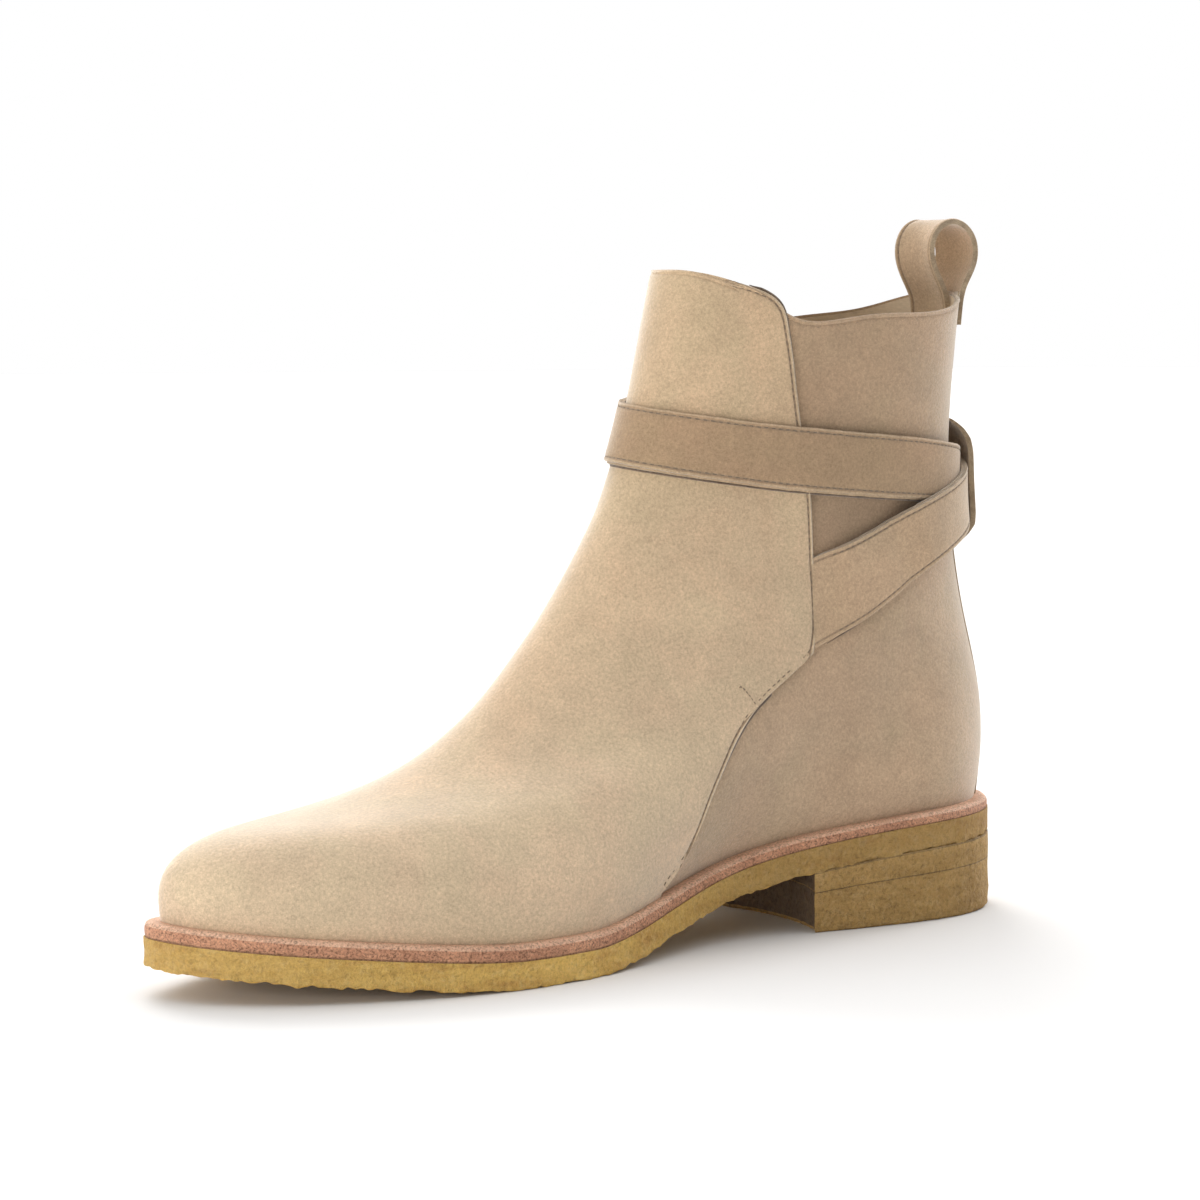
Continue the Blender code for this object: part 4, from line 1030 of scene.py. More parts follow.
def back_tv(ys, z):
    """(t, v) round the heel's back at height z for an array of y."""
    v = np.linspace(-0.16, 0.16, 97)
    t = at_height(v, np.full(v.shape, z))
    y = surf(t, v)[:, 1]
    w = np.interp(-np.asarray(ys), -y, v)
    return np.stack([np.interp(w, v, t), w], -1)


zs = np.concatenate([np.linspace(34.2, 190.0, 96), np.linspace(190.8, 196.9, 12)])
grid = []
for z in zs:
    h = float(half_width(z))
    steps = np.concatenate([-h + EDGE_STEPS[:-1], np.linspace(-h + EDGE_STEPS[-1], h - EDGE_STEPS[-1], 13), h - EDGE_STEPS[::-1][1:]])
    grid.append(back_tv(steps, z))
grid = np.array(grid)
top_t = at_height(grid[-1, :, 1] % 1.0, top_line(grid[-1, :, 1] % 1.0))
grid[-1, :, 0] = np.minimum(top_t, grid[-1, :, 0] + 1)
pts = surf(grid[..., 0], grid[..., 1])
d_a, d_b = distance(pts[:, :10], pts[:, 0]), distance(pts[:, -10:], pts[:, -1])
drop = np.zeros(pts.shape[:2])
drop[:, :10] += edge_drop(d_a)
drop[:, -10:] += edge_drop(d_b)
d_rim = np.linalg.norm(pts - pts[-1:], axis=-1)
drop += np.where(d_rim < 1.2, edge_drop(d_rim), 0)
foot = smooth(pts[..., 2] - sole_z(pts[..., 0]) - FEATHER_RISE, 0.0, 3.0)
rise = swell(grid)
outer = body(grid, PANEL_LIFT - 0.65 - 0.7 * drop * foot, rise)
carry(shell("backstay", outer, body(grid, PANEL_LIFT - PANEL_T + 0.05, rise), [SUEDE_QUARTER, GROOVE_SHADE, SUEDE_QUARTER, EDGE], trim=2), "suede")
for cols in (4, -5):
    seams.append(seam_on(grid[2:-2, cols], stitch_lift - 0.60, 0.0))


# ------------------------------------------------------------ straps
def path_rows(table, step):
    """Rows of a strap's table, about step apart in v."""
    v, mid, width, lifts = columns(table)
    run = np.abs(v - v[0])
    s = [run[0]]
    for a, b in zip(run[:-1], run[1:]):
        n = max(1, int(round((b - a) / step)))
        s += list(a + (b - a) * np.arange(1, n + 1) / n)
    s = np.array(s)
    turn = np.sign(v[-1] - v[0])
    return v[0] + turn * s, spline(run, mid)(s), np.interp(s, run, width), np.interp(s, run, lifts)


def soften(values, s, reach):
    """Running mean of values given at distances s."""
    out = np.empty(len(values))
    for i in range(len(s)):
        w = np.clip(1 - np.abs(s - s[i]) / reach, 0, None)
        out[i] = (w * values).sum() / w.sum()
    return out


def strap_paths(table, step, shear, wobble, seed, tuck, tip=0.0):
    """(t, v) grid of a strap with close lanes at its edges, distances from the
    edges, and its lift. The first rows are sheared to start on a plumb line."""
    v, mid, width, lifts = path_rows(table, step)
    t = at_height(v % 1.0, mid)
    line, face = surf(t, v), normal(t, v)
    s = np.concatenate([[0], np.cumsum(np.linalg.norm(np.diff(line, axis=0), axis=1))])
    lifts = soften(lifts, s, 2.2)
    width = np.where(s[-1] - s < 12, width, soften(width, s, 4.0))
    along = np.gradient(line, axis=0)
    across = np.cross(along, face)
    across /= np.linalg.norm(across, axis=1, keepdims=True)
    across *= np.sign(across[:, 2:])
    along /= np.linalg.norm(along, axis=1, keepdims=True)
    side = lattice(np.stack([s, 0 * s, 0 * s + seed], -1), 26.0, seed)
    other = lattice(np.stack([s, 0 * s + 50, 0 * s + seed], -1), 26.0, seed + 1)
    rows = []
    offs = []
    for i in range(len(v)):
        h = width[i] / 2
        k = min(1.0, h / 7.0)
        e = EDGE_STEPS * k
        lanes = np.concatenate([-h + e[:-1], np.linspace(-h + e[-1], h - e[-1], 8), h - e[::-1][1:]])
        lanes = lanes + wobble * np.where(lanes < 0, side[i], other[i]) * np.abs(lanes) / max(h, 1e-6)
        lean = -across[i, 0] / max(across[i, 2], 0.3) * (1 - smooth(s[i], 2.0, 22.0)) * shear
        q = line[i] + across[i] * lanes[:, None]
        q = q + along[i] * (lanes * lean * (1.0 if along[i, 0] > 0 else -1.0))[:, None]
        rows.append(q)
        offs.append(np.minimum(lanes + h, h - lanes))
    q = np.array(rows)
    tt, vv = settle(q, np.repeat(t[:, None], q.shape[1], 1), np.repeat(v[:, None], q.shape[1], 1))
    tv = np.stack([tt, vv], -1)
    under = 1 - smooth(s, 0.0, tuck)
    return tv, np.array(offs), lifts, s, under, line


def strap(name, table, step, seed, tuck_depth, tuck, skin, droop=0.0, shear=1.0):
    tv, offs, lifts, s, under, line = strap_paths(table, step, shear, 0.22, seed, tuck)
    rise = swell(tv)
    p = surf(tv[..., 0], tv[..., 1])
    wave = 0.16 * lattice(p, 17.0, seed + 5)
    high = lifts[:, None] - tuck_depth * under[:, None] + rise + wave + 0.12
    curl = 0.5 * droop * smooth(s, s[-1] - 26, s[-1])[:, None]
    high = high + curl
    groove = 0.32 * np.exp(-((offs - SEAM_INSET) / 0.34) ** 2) + 0.20 * np.exp(-(offs / 0.25) ** 2)
    mid = STRAP_T / 2
    n = normal(tv[..., 0], tv[..., 1])
    base = surf(tv[..., 0], tv[..., 1])
    across = base[:, -1] - base[:, 0]
    across /= np.linalg.norm(across, axis=1, keepdims=True)
    below = np.exp(-((base - base[:, :1]) ** 2).sum(-1) / 3.0)
    above = np.exp(-((base - base[:, -1:]) ** 2).sum(-1) / 3.0)
    fray = 0.12 * lattice(base, 2.6, seed + 9)
    ease = smooth(s, 4.0, 16.0) * (1 - smooth(s, s[-1] - 16, s[-1] - 4))
    at = lambda h: base + n * h[..., None] - across[:, None] * ((fray * ease[:, None]) * (below - above))[..., None]
    out = lambda h, low, high: at(h) - across[:, None] * ((low * below - high * above) * ease[:, None])[..., None]
    top = shell(name + "_face", at(high + STRAP_T - groove), at(high + mid + 0.04), [skin, GROOVE_SHADE, SEAM_MARGIN, EDGE], trim=2)
    pull = np.exp(-(offs / 0.35) ** 2) * 0.10
    low = shell(name + "_back", out(high + mid - 0.04 - pull, 0.55, 0.2), out(high + pull, 0.45, 0.1), [skin, GROOVE_SHADE, SEAM_MARGIN, EDGE], trim=2)
    return top, low, tv, offs, high, n, base, s


def strap_seams(tv, offs, high, n, base, s, start, stop):
    out = []
    ok = (s >= start) & (s <= s[-1] - stop)
    for lane in (4, -5):
        pts = (base + n * (high + STRAP_T - 0.17)[..., None])[ok, lane]
        out.append((pts, n[ok, lane]))
    return out


# The wrap strap comes out from under the vamp's plumb edge on the outer side.
a = np.linspace(0.70, 0.79, 91)
hidden_v = float(np.interp(-89.8, surf(at_height(a, np.full(a.shape, 98.2)), a)[:, 0], a))
WRAP_ALL = [(hidden_v, 98.0, 25.5, 0.35)] + WRAP_STRAP[1:]
wrap_top, wrap_low, w_tv, w_off, w_high, w_n, w_base, w_s = strap("wrap_strap", WRAP_ALL, 0.0042, 11, 3.1, 19.0, SUEDE_STRAP, 0.6)
seams += strap_seams(w_tv, w_off, w_high, w_n, w_base, w_s, 6.0, 7.5)
buck_top, buck_low, b_tv, b_off, b_high, b_n, b_base, b_s = strap("buckle_strap", BUCKLE_STRAP, 0.0042, 23, 2.3, 18.0, SUEDE_LOOP)
seams += strap_seams(b_tv, b_off, b_high, b_n, b_base, b_s, 6.0, 3.0)

# Painted shadow: a dark cord along a strap's lower edge where it lies on the upper.
shade_lines = []
for s_run, p, face_n, q in ((w_s, w_base, w_n, w_tv), (b_s, b_base, b_n, b_tv)):
    ok = (s_run > 4.0) & (s_run < s_run[-1] - 30.0)
    d = p[:, 0] - p[:, 2]
    d /= np.linalg.norm(d, axis=1, keepdims=True)
    by_seam = smooth(-p[:, 0, 0], 86.0, 89.0) * (1 - smooth(-p[:, 0, 0], 100.0, 106.0)) * (p[:, 0, 1] < 0)
    line = p[:, 0] + d * 0.75 + face_n[:, 0] * (0.12 + 0.45 * by_seam + swell(q[:, 0]))[:, None]
    shade_lines.append((line[ok], face_n[:, 0][ok]))
carry(cord("strap_underlay", shade_lines, SEAM_SHADOW, 0.34), "strap_suede")

# Stitches round the wrap strap's tip.
tip_pts = w_base + w_n * (w_high + STRAP_T - 0.17)[..., None]
inset = [i for i in range(len(w_s)) if w_s[-1] - 7.5 <= w_s[i] <= w_s[-1] - SEAM_INSET]
ring = [tip_pts[i, 4] for i in inset]
ring_n = [w_n[i, 4] for i in inset]
end_row = inset[-1]
ring += [tip_pts[end_row, j] for j in range(5, tip_pts.shape[1] - 5)]
ring_n += [w_n[end_row, j] for j in range(5, tip_pts.shape[1] - 5)]
ring += [tip_pts[i, -5] for i in inset[::-1]]
ring_n += [w_n[i, -5] for i in inset[::-1]]
seams.append((np.array(ring), np.array(ring_n)))

# ------------------------------------------------------------ keeper
KEEPER_T = 1.8
zk, lk = columns(KEEPER)
fine = np.linspace(0, len(zk) - 1, 96)
run = np.concatenate([[0], np.cumsum(np.hypot(np.diff(zk), np.diff(lk)))])
path = spline(run, np.stack([zk, lk], 1))
at_run = np.linspace(0, run[-1], 96)
zl = path(at_run)
straight = np.stack([np.interp(at_run, run, zk), np.interp(at_run, run, lk)], 1)
zl = 0.5 * zl + 0.5 * straight
h = KEEPER_HALF_WIDTH
lanes = np.concatenate([-h + EDGE_STEPS[:-1], np.linspace(-h + EDGE_STEPS[-1], h - EDGE_STEPS[-1], 9), h - EDGE_STEPS[::-1][1:]])
tv = np.array([back_tv(lanes, z) for z, _ in zl])
offs = np.repeat((h - np.abs(lanes))[None], len(zl), 0)
ends = np.minimum(at_run, run[-1] - at_run)[:, None]
groove = edge_drop(offs) * 0.8 + np.where(ends < 1.0, 0.2 * np.exp(-(ends / 0.3) ** 2), 0)
high = np.repeat(zl[:, 1:2], len(lanes), 1) + swell(tv) + 0.10 * lattice(surf(tv[..., 0], tv[..., 1]), 9.0, 41)
high = np.where(ends < 9, high, np.maximum(high, zl[:, 1:2] + 0.05))
keeper_n, keeper_base = normal(tv[..., 0], tv[..., 1]), surf(tv[..., 0], tv[..., 1])
outer = keeper_base + keeper_n * (high + KEEPER_T - groove)[..., None]
inner = keeper_base + keeper_n * high[..., None]
carry(shell("keeper_loop", outer, inner, [SUEDE_LOOP, GROOVE_SHADE, SEAM_MARGIN, EDGE], trim=2), "strap_suede", "keeper")
for lane in (4, -5):
    seams.append((outer[2:-2, lane] + keeper_n[2:-2, lane] * 0.03, keeper_n[2:-2, lane]))

# ------------------------------------------------------------ pull loop
TAB_T = 1.8
TAB_HALF_WIDTH = 9.0
zs, outs = columns(PULL_LOOP)
run = np.concatenate([[0], np.cumsum(np.hypot(np.diff(zs), np.diff(outs)))])
at_run = np.linspace(0, run[-1], 110)
pull_path = spline(run, np.stack([zs, outs], 1))(at_run)
h = TAB_HALF_WIDTH
lanes = np.concatenate([-h + EDGE_STEPS[:-1], np.linspace(-h + EDGE_STEPS[-1], h - EDGE_STEPS[-1], 9), h - EDGE_STEPS[::-1][1:]])
face = np.empty((len(pull_path), len(lanes), 3))
for i, (z, out) in enumerate(pull_path):
    tv = back_tv(lanes, min(z, 196.0))
    face[i, :, 0] = surf(tv[:, 0], tv[:, 1])[:, 0] + out
    face[i, :, 1] = lanes
    face[i, :, 2] = z
a, b = np.gradient(face, axis=0), np.gradient(face, axis=1)
n = np.cross(b, a)
n /= np.linalg.norm(n, axis=-1, keepdims=True)
if n[:6, :, 0].mean() < 0:
    n = -n
offs = np.repeat((h - np.abs(lanes))[None], len(face), 0)
wave = 0.12 * lattice(face, 8.0, 47)
face = face + n * wave[..., None]
outer = face + n * (TAB_T - 0.8 * edge_drop(offs))[..., None]
carry(shell("pull_tab", outer, face, [SUEDE_LOOP, GROOVE_SHADE, SEAM_MARGIN, EDGE], trim=2), "strap_suede", "pull_loop")
for lane in (4, -5):
    seams.append((outer[2:-40, lane] + n[2:-40, lane] * 0.03, n[2:-40, lane]))
foot_row = 4
seams.append((outer[foot_row, 4:-4] + n[foot_row, 4:-4] * 0.12, n[foot_row, 4:-4]))
over = int(np.argmin(np.abs(at_run - np.interp(1, [0, 1], [0, 8.0]))))
seams.append((outer[over, 4:-4] + n[over, 4:-4] * 0.12, n[over, 4:-4]))


# ------------------------------------------------------------ sole
def ring_points(outline, spine, share):
    """Outline drawn in towards a spine along the boot's middle."""
    lo, hi = spine
    x = np.clip(outline[:, 0], lo, hi)
    a = edge(MID_V, margin(MID_V))
    b = edge(1 - MID_V, margin(1 - MID_V))
    mid = np.interp(-x, -(a[:, 0] + b[:, 0]) / 2, (a[:, 1] + b[:, 1]) / 2)
    c = np.stack([x, mid], -1)
    return c + (outline - c) * share


MID_V = np.linspace(0.02, 0.48, 200)
SHARES = np.array([0.0, 0.16, 0.32, 0.46, 0.58, 0.68, 0.77, 0.84, 0.89, 0.93, 0.96, 0.98, 0.992, 1.0])


def loft(name, loops, mats, index_of):
    """Closed body from loops of points, the first and last drawn together to a spine."""
    n = len(loops[0])
    pts = np.concatenate(loops)
    faces = cells(len(loops), n, True)
    index = np.repeat([index_of(i) for i in range(len(loops) - 1)], n)
    mesh = bpy.data.meshes.new(name)
    mesh.from_pydata(placed(pts).tolist(), [], faces.tolist())
    for m in mats:
        mesh.materials.append(m)
    mesh.polygons.foreach_set("material_index", index.astype(np.int32))
    bm = bmesh.new()
    bm.from_mesh(mesh)
    ends = [x for x in bm.verts if x.index < n or x.index >= len(pts) - n]
    bmesh.ops.remove_doubles(bm, verts=ends, dist=2e-5)
    bmesh.ops.dissolve_degenerate(bm, edges=bm.edges, dist=1e-6)
    bmesh.ops.recalc_face_normals(bm, faces=bm.faces)
    bm.to_mesh(mesh)
    bm.free()
    mesh.shade_smooth()
    mesh.set_sharp_from_angle(angle=math.radians(40))
    ob = bpy.data.objects.new(name, mesh)
    bpy.context.scene.collection.objects.link(ob)
    return ob


def closed_outline(count, grow):
    """Points evenly spaced round the sole's outline, and their v."""
    v = np.linspace(0, 1, 1441)[:-1]
    p = edge(v, margin(v) + grow)
    s = np.concatenate([[0], np.cumsum(np.linalg.norm(np.diff(np.concatenate([p, p[:1]]), axis=0), axis=1))])
    w = np.linspace(0, s[-1], count + 1)[:-1]
    return np.interp(w, s, np.append(v, 1.0))


def outward(p):
    d = np.roll(p, -1, 0) - np.roll(p, 1, 0)
    d /= np.linalg.norm(d, axis=1, keepdims=True)
    n = np.stack([-d[:, 1], d[:, 0]], 1)
    c = p - p.mean(0)
    return n * np.sign((n * c).sum())


def layered(v, grow, base, thick, wall, spine, rough, seed, ragged=0.0):
    """Loops of a sole layer from the middle of its bottom to the middle of its top."""
    out = edge(v, margin(v) + grow)
    n = outward(out)
    loops = []
    for share, extra in wall:
        p = out + n * extra
        z = base(p[:, 0]) + thick(p[:, 0]) * share
        q = np.column_stack([p, z])
        amp = rough(share)
        wob = amp * (0.6 * lattice(q, 4.6, seed) + 0.4 * lattice(q, 2.0, seed + 1))
        drop = ragged * (0.35 * lattice(q + 90, 5.2, seed + 2) + 0.65 * lattice(q + 90, 1.8, seed + 3)) * max(0.0, 1 - share / 0.22)
        q = np.column_stack([p + n * wob[:, None], np.maximum(z + drop, 0.02)])
        loops.append(q)
    low, high = loops[0], loops[-1]
    under, over = [], []
    for s in SHARES[:-1]:
        a = ring_points(low[:, :2], spine, s)
        under.append(np.column_stack([a, base(a[:, 0]) + (low[:, 2] - base(low[:, 0])) * s ** 8]))
        b = ring_points(high[:, :2], spine, s)
        over.append(np.column_stack([b, base(b[:, 0]) + thick(b[:, 0]) + (high[:, 2] - base(high[:, 0]) - thick(high[:, 0])) * s ** 8]))
    return under, loops, over


ring_v = closed_outline(1080, 0.4)

# Outsole: crepe, its lower edge left ragged.
wall = [(0.0, -0.60), (0.03, -0.10), (0.10, 0.05), (0.22, 0.05), (0.36, 0.0), (0.50, -0.05), (0.64, 0.0), (0.78, 0.05), (0.90, 0.03), (0.97, 0.02), (1.0, 0.0)]
flat_t = lambda x: np.full(np.shape(x), OUTSOLE_T)
under, loops, over = layered(ring_v, 0.4, sole_z, flat_t, wall, (-262.0, -36.0),
                             lambda s: 0.75 * (1 - s) ** 2 + 0.20, 61, 0.85)
tread = []
for p in under:
    bumpy = 0.18 * lattice(p, 4.0, 66) + 0.10 * lattice(p, 1.9, 67)
    tread.append(p + np.column_stack([0 * bumpy, 0 * bumpy, np.abs(bumpy)]))
k = len(tread)
sole = loft("outsole_crepe", tread + loops + over[::-1], [CREPE_SIDE, CREPE_TREAD, CREPE_RIM], lambda i: 1 if i < 7 else 2 if i <= k else 0)
carry(sole, "crepe_rubber", "outsole")

# Welt: the leather midsole, its edge rounded, its top face open round the upper.
base_w = lambda x: sole_z(x) + OUTSOLE_T - 0.25
wall = [(0.0, -0.05), (0.06, 0.02), (0.16, 0.08), (0.30, 0.16), (0.46, 0.20), (0.60, 0.16), (0.73, 0.02), (0.84, -0.26), (0.92, -0.62), (0.97, -1.05), (1.0, -1.6)]
welt_t = lambda x: MIDSOLE_T + 0.77 + 0.4 * smooth(-np.asarray(x), 60.0, 100.0) + 0.9 * smooth(-np.asarray(x), 115.0, 165.0)
under, loops, over = layered(ring_v, 0.0, base_w, welt_t, wall, (-262.0, -36.0), lambda s: 0.16, 71)
k = len(under)
# The welt's upper edge and top take the lighter copy, a painted highlight; its foot and underside the darker copy,
# painted shade.
carry(loft("welt", under + loops + over[::-1], [WELT, WELT_TOP_HIGHLIGHT, WELT_FOOT_SHADE], lambda i: 1 if i >= k + 6 else 2 if i < k + 2 else 0), "welt_leather", "midsole")

# Insole.
in_v = closed_outline(300, -INSOLE_INSET)
out = edge(in_v, np.full(len(in_v), -INSOLE_INSET))
loops = []
for share, extra in ((0.0, -0.4), (0.2, 0.0), (0.8, 0.0), (0.95, -0.15), (1.0, -0.5)):
    p = out + outward(out) * extra
    loops.append(np.column_stack([p, sole_z(p[:, 0]) + FEATHER_RISE + INSOLE_T * share]))
under = [np.column_stack([a, sole_z(a[:, 0]) + FEATHER_RISE]) for a in (ring_points(loops[0][:, :2], (-250.0, -40.0), s) for s in SHARES[:-1])]
over = [np.column_stack([a, sole_z(a[:, 0]) + FEATHER_RISE + INSOLE_T]) for a in (ring_points(loops[-1][:, :2], (-250.0, -40.0), s) for s in SHARES[:-1])]
carry(loft("insole_board", under + loops + over[::-1], [INSOLE], lambda i: 0), "insole_leather", "insole")

# Heel: a block under the back of the sole, its breast curved in.
a_v = np.linspace(0.0, 0.5, 900)
xs = edge(a_v, margin(a_v) + 0.6)[:, 0]
v_in = float(np.interp(HEEL_LENGTH, -xs, a_v))
xs = edge(1 - a_v, margin(1 - a_v) + 0.6)[:, 0]
v_out = 1 - float(np.interp(HEEL_LENGTH, -xs, a_v))
side_v = np.linspace(v_in, v_out - 1, 1600)
side = edge(side_v % 1.0, margin(side_v % 1.0) + 0.6)
s = np.concatenate([[0], np.cumsum(np.linalg.norm(np.diff(side, axis=0), axis=1))])
w = np.linspace(0, s[-1], 300)
side = np.stack([np.interp(w, s, side[:, k]) for k in (0, 1)], -1)
b = np.linspace(0, 1, 92)[1:-1]
breast = side[-1] + (side[0] - side[-1]) * b[:, None]
breast[:, 0] += HEEL_HOLLOW * (4 * b * (1 - b)) ** 0.8
heel_line = np.concatenate([side, breast])
n = outward(heel_line)
for _ in range(3):
    n = (np.roll(n, 1, 0) + n + np.roll(n, -1, 0)) / 3
heel_wall = [(0.0, -0.8), (0.02, -0.25), (0.06, -0.02), (0.14, 0.05), (0.24, 0.0), (0.35, 0.03),
             (0.46, 0.0), (0.58, 0.04), (0.655, 0.02), (0.665, -0.16), (0.675, 0.02), (0.82, 0.04), (0.92, 0.0), (0.974, -0.02), (1.0, -0.14)]
mid_y = 0.5 * (side[:150, 1] + side[:149:-1, 1]).mean()
loops = []
for share, extra in heel_wall:
    p = heel_line + n * extra
    z = (sole_z(p[:, 0]) + 0.25) * share
    q = np.column_stack([p, z])
    amp = 0.34 * (1 - share) ** 2 + 0.26
    wob = amp * (0.6 * lattice(q, 3.6, 81) + 0.4 * lattice(q, 1.7, 82))
    rag = np.abs(0.5 * lattice(q, 5.0, 83) + 0.3 * lattice(q, 2.1, 84)) * max(0.0, 1 - share / 0.1)
    back = 1.2 * smooth(p[:, 0], -15.0, -1.0) * max(0.0, 1 - share / 0.3)
    loops.append(np.column_stack([p + n * wob[:, None], z + rag + back]))


def to_core(p, s):
    x = np.clip(p[:, 0], -62.0, -30.0)
    c = np.column_stack([x, np.full(len(p), mid_y)])
    return c + (p - c) * s


under, over = [], []
for s in SHARES[:-1]:
    a = to_core(loops[0][:, :2], s)
    q = np.column_stack([a, np.zeros(len(a))])
    under.append(np.column_stack([a, np.abs(0.12 * lattice(q, 4.0, 86))]))
    b = to_core(loops[-1][:, :2], s)
    over.append(np.column_stack([b, sole_z(b[:, 0]) + 0.25]))
k = len(under)
heel = loft("heel_crepe", under + loops + over[::-1], [CREPE_HEEL_SHADE, CREPE_TREAD, CREPE_JOINT, CREPE_BREAST_SHADE],
            lambda i: 1 if i < k else 2 if i - k in (8, 9) or i - k >= len(loops) - 2 else 0)
# Painted shade: the heel's breast, which faces the toe, takes the near-black crepe.
for face in heel.data.polygons:
    if face.normal.x < -0.6 and face.center.z > 0.0015 and face.material_index == 0:
        face.material_index = 3
carry(heel, "crepe_rubber", "heel")

# Sole stitching under the forepart, from the heel's breast round the toe and back.
path_v = np.linspace(0.205, 0.795, 900)
p = edge(path_v, margin(path_v) - 6.4)
line = np.column_stack([p, sole_z(p[:, 0]) + 0.44])
down = np.broadcast_to([0.0, 0.0, -1.0], line.shape)
under_stitch = thread("sole_stitching", [(line, down)], SOLE_THREAD, pitch=7.4, stitch=5.0, radius=0.42, sink=0.05, skew=0.15)
carry(under_stitch, "crepe_rubber")

# ------------------------------------------------------------ stitches of the upper
carry(thread("upper_stitching", seams, THREAD), "suede")
carry(thread("bar_tack", [(tack_pts, tack_nrm)], THREAD, pitch=1.35, stitch=1.15, radius=0.2, sink=-0.05), "suede")


# ------------------------------------------------------------ buckle
PRONG_D = 2.0
a = np.linspace(0.60, 0.85, 126)
xs = surf(at_height(a, np.full(a.shape, BUCKLE_Z)), a)[:, 0]
buckle_v = float(np.interp(BUCKLE_X, xs, a))
seat_t = at_height(np.array([buckle_v]), np.array([BUCKLE_Z]))
seat = surf(seat_t, np.array([buckle_v]))[0]
out = normal(seat_t, np.array([buckle_v]))[0]
ahead = np.cross(out, [0, 0, 1.0])
ahead /= np.linalg.norm(ahead)
if ahead[0] > 0:
    ahead = -ahead
up = np.cross(ahead, out)
if up[2] < 0:
    up = -up
slope = math.radians(BUCKLE_RISE)
ahead, up = ahead * math.cos(slope) + up * math.sin(slope), up * math.cos(slope) - ahead * math.sin(slope)
tilt = math.atan2(BUCKLE_LIFT_REAR - BUCKLE_LIFT_FRONT, BUCKLE_LONG - BUCKLE_BAR)
ahead, out = ahead * math.cos(tilt) - out * math.sin(tilt), out * math.cos(tilt) + ahead * math.sin(tilt)
centre = seat + out * ((BUCKLE_LIFT_FRONT + BUCKLE_LIFT_REAR) / 2 + BUCKLE_T / 2)
axes = Matrix((ahead, up, out)).transposed()
if axes.determinant() < 0:
    up = -up
    axes = Matrix((ahead, up, out)).transposed()
place = Matrix.Translation(Vector(placed(centre))) @ axes.to_4x4()


def baked(ob, sharp=35):
    """Replaces an object's modifiers and matrix by the mesh they give."""
    graph = bpy.context.evaluated_depsgraph_get()
    mesh = bpy.data.meshes.new_from_object(ob.evaluated_get(graph))
    mesh.transform(ob.matrix_world)
    ob.modifiers.clear()
    ob.matrix_world = Matrix()
    ob.data = mesh
    mesh.shade_smooth()
    mesh.set_sharp_from_angle(angle=math.radians(sharp))
    return ob


def block(name, size, at, matrix):
    mesh = bpy.data.meshes.new(name)
    bm = bmesh.new()
    bmesh.ops.create_cube(bm, size=1.0)
    for w in bm.verts:
        w.co = Vector([(w.co[i] * size[i] + at[i]) * MM for i in range(3)])
    bm.to_mesh(mesh)
    bm.free()
    ob = bpy.data.objects.new(name, mesh)
    bpy.context.scene.collection.objects.link(ob)
    ob.matrix_world = matrix
    return ob


def chamfered(name, long, wide, high, corner, matrix, at=(0, 0, 0)):
    """Plate with its four corners cut off and rounded."""
    a, b, c = long / 2, wide / 2, corner
    line = []
    for sx, sy in ((1, 1), (-1, 1), (-1, -1), (1, -1)):
        arc = []
        for k in range(5):
            w = math.radians(90) * k / 4
            arc.append((sx * (a - c + c * math.cos(w)), sy * (b - c + c * math.sin(w))))
        line += arc if sx * sy > 0 else arc[::-1]
    mesh = bpy.data.meshes.new(name)
    n = len(line)
    pts = [((x + at[0]) * MM, (y + at[1]) * MM, (z + at[2]) * MM) for z in (-high / 2, high / 2) for x, y in line]
    faces = [list(range(n))[::-1], list(range(n, 2 * n))] + [[i, (i + 1) % n, (i + 1) % n + n, i + n] for i in range(n)]
    mesh.from_pydata(pts, [], faces)
    ob = bpy.data.objects.new(name, mesh)
    bpy.context.scene.collection.objects.link(ob)
    ob.matrix_world = matrix
    return ob


def cut(ob, cutter):
    mod = ob.modifiers.new("cut", "BOOLEAN")
    mod.operation = "DIFFERENCE"
    mod.solver = "EXACT"
    mod.object = cutter


inner_long = (BUCKLE_LONG - 3 * BUCKLE_BAR) / 2
side_x = (inner_long + BUCKLE_BAR) / 2
buckle = chamfered("buckle", BUCKLE_LONG, BUCKLE_WIDE, BUCKLE_T, 3.4, place)
tools = []
for k, sx in enumerate((-1, 1)):
    tools.append(chamfered("window_%d" % k, inner_long, BUCKLE_WIDE - 2 * BUCKLE_BAR, 4 * BUCKLE_T, 1.3, place, (sx * side_x, 0, 0)))
tools.append(block("bar_relief", (BUCKLE_BAR + 1.0, BUCKLE_WIDE - 2 * BUCKLE_BAR, BUCKLE_T), (0, 0, BUCKLE_T / 2 - 0.4), place))
for c in tools:
    cut(buckle, c)
bev = buckle.modifiers.new("rounding", "BEVEL")
bev.width = 0.42 * MM
bev.segments = 3
bev.limit_method = "ANGLE"
bev.angle_limit = math.radians(50)
baked(buckle)
for c in tools:
    bpy.data.objects.remove(c, do_unlink=True)
for m in (BRASS_FACE, BRASS_SIDE):
    buckle.data.materials.append(m)
for f in buckle.data.polygons:
    f.material_index = 0 if f.normal.dot(Vector(out)) > 0.55 else 1
carry(buckle, "buckle_brass", "buckle_frame")


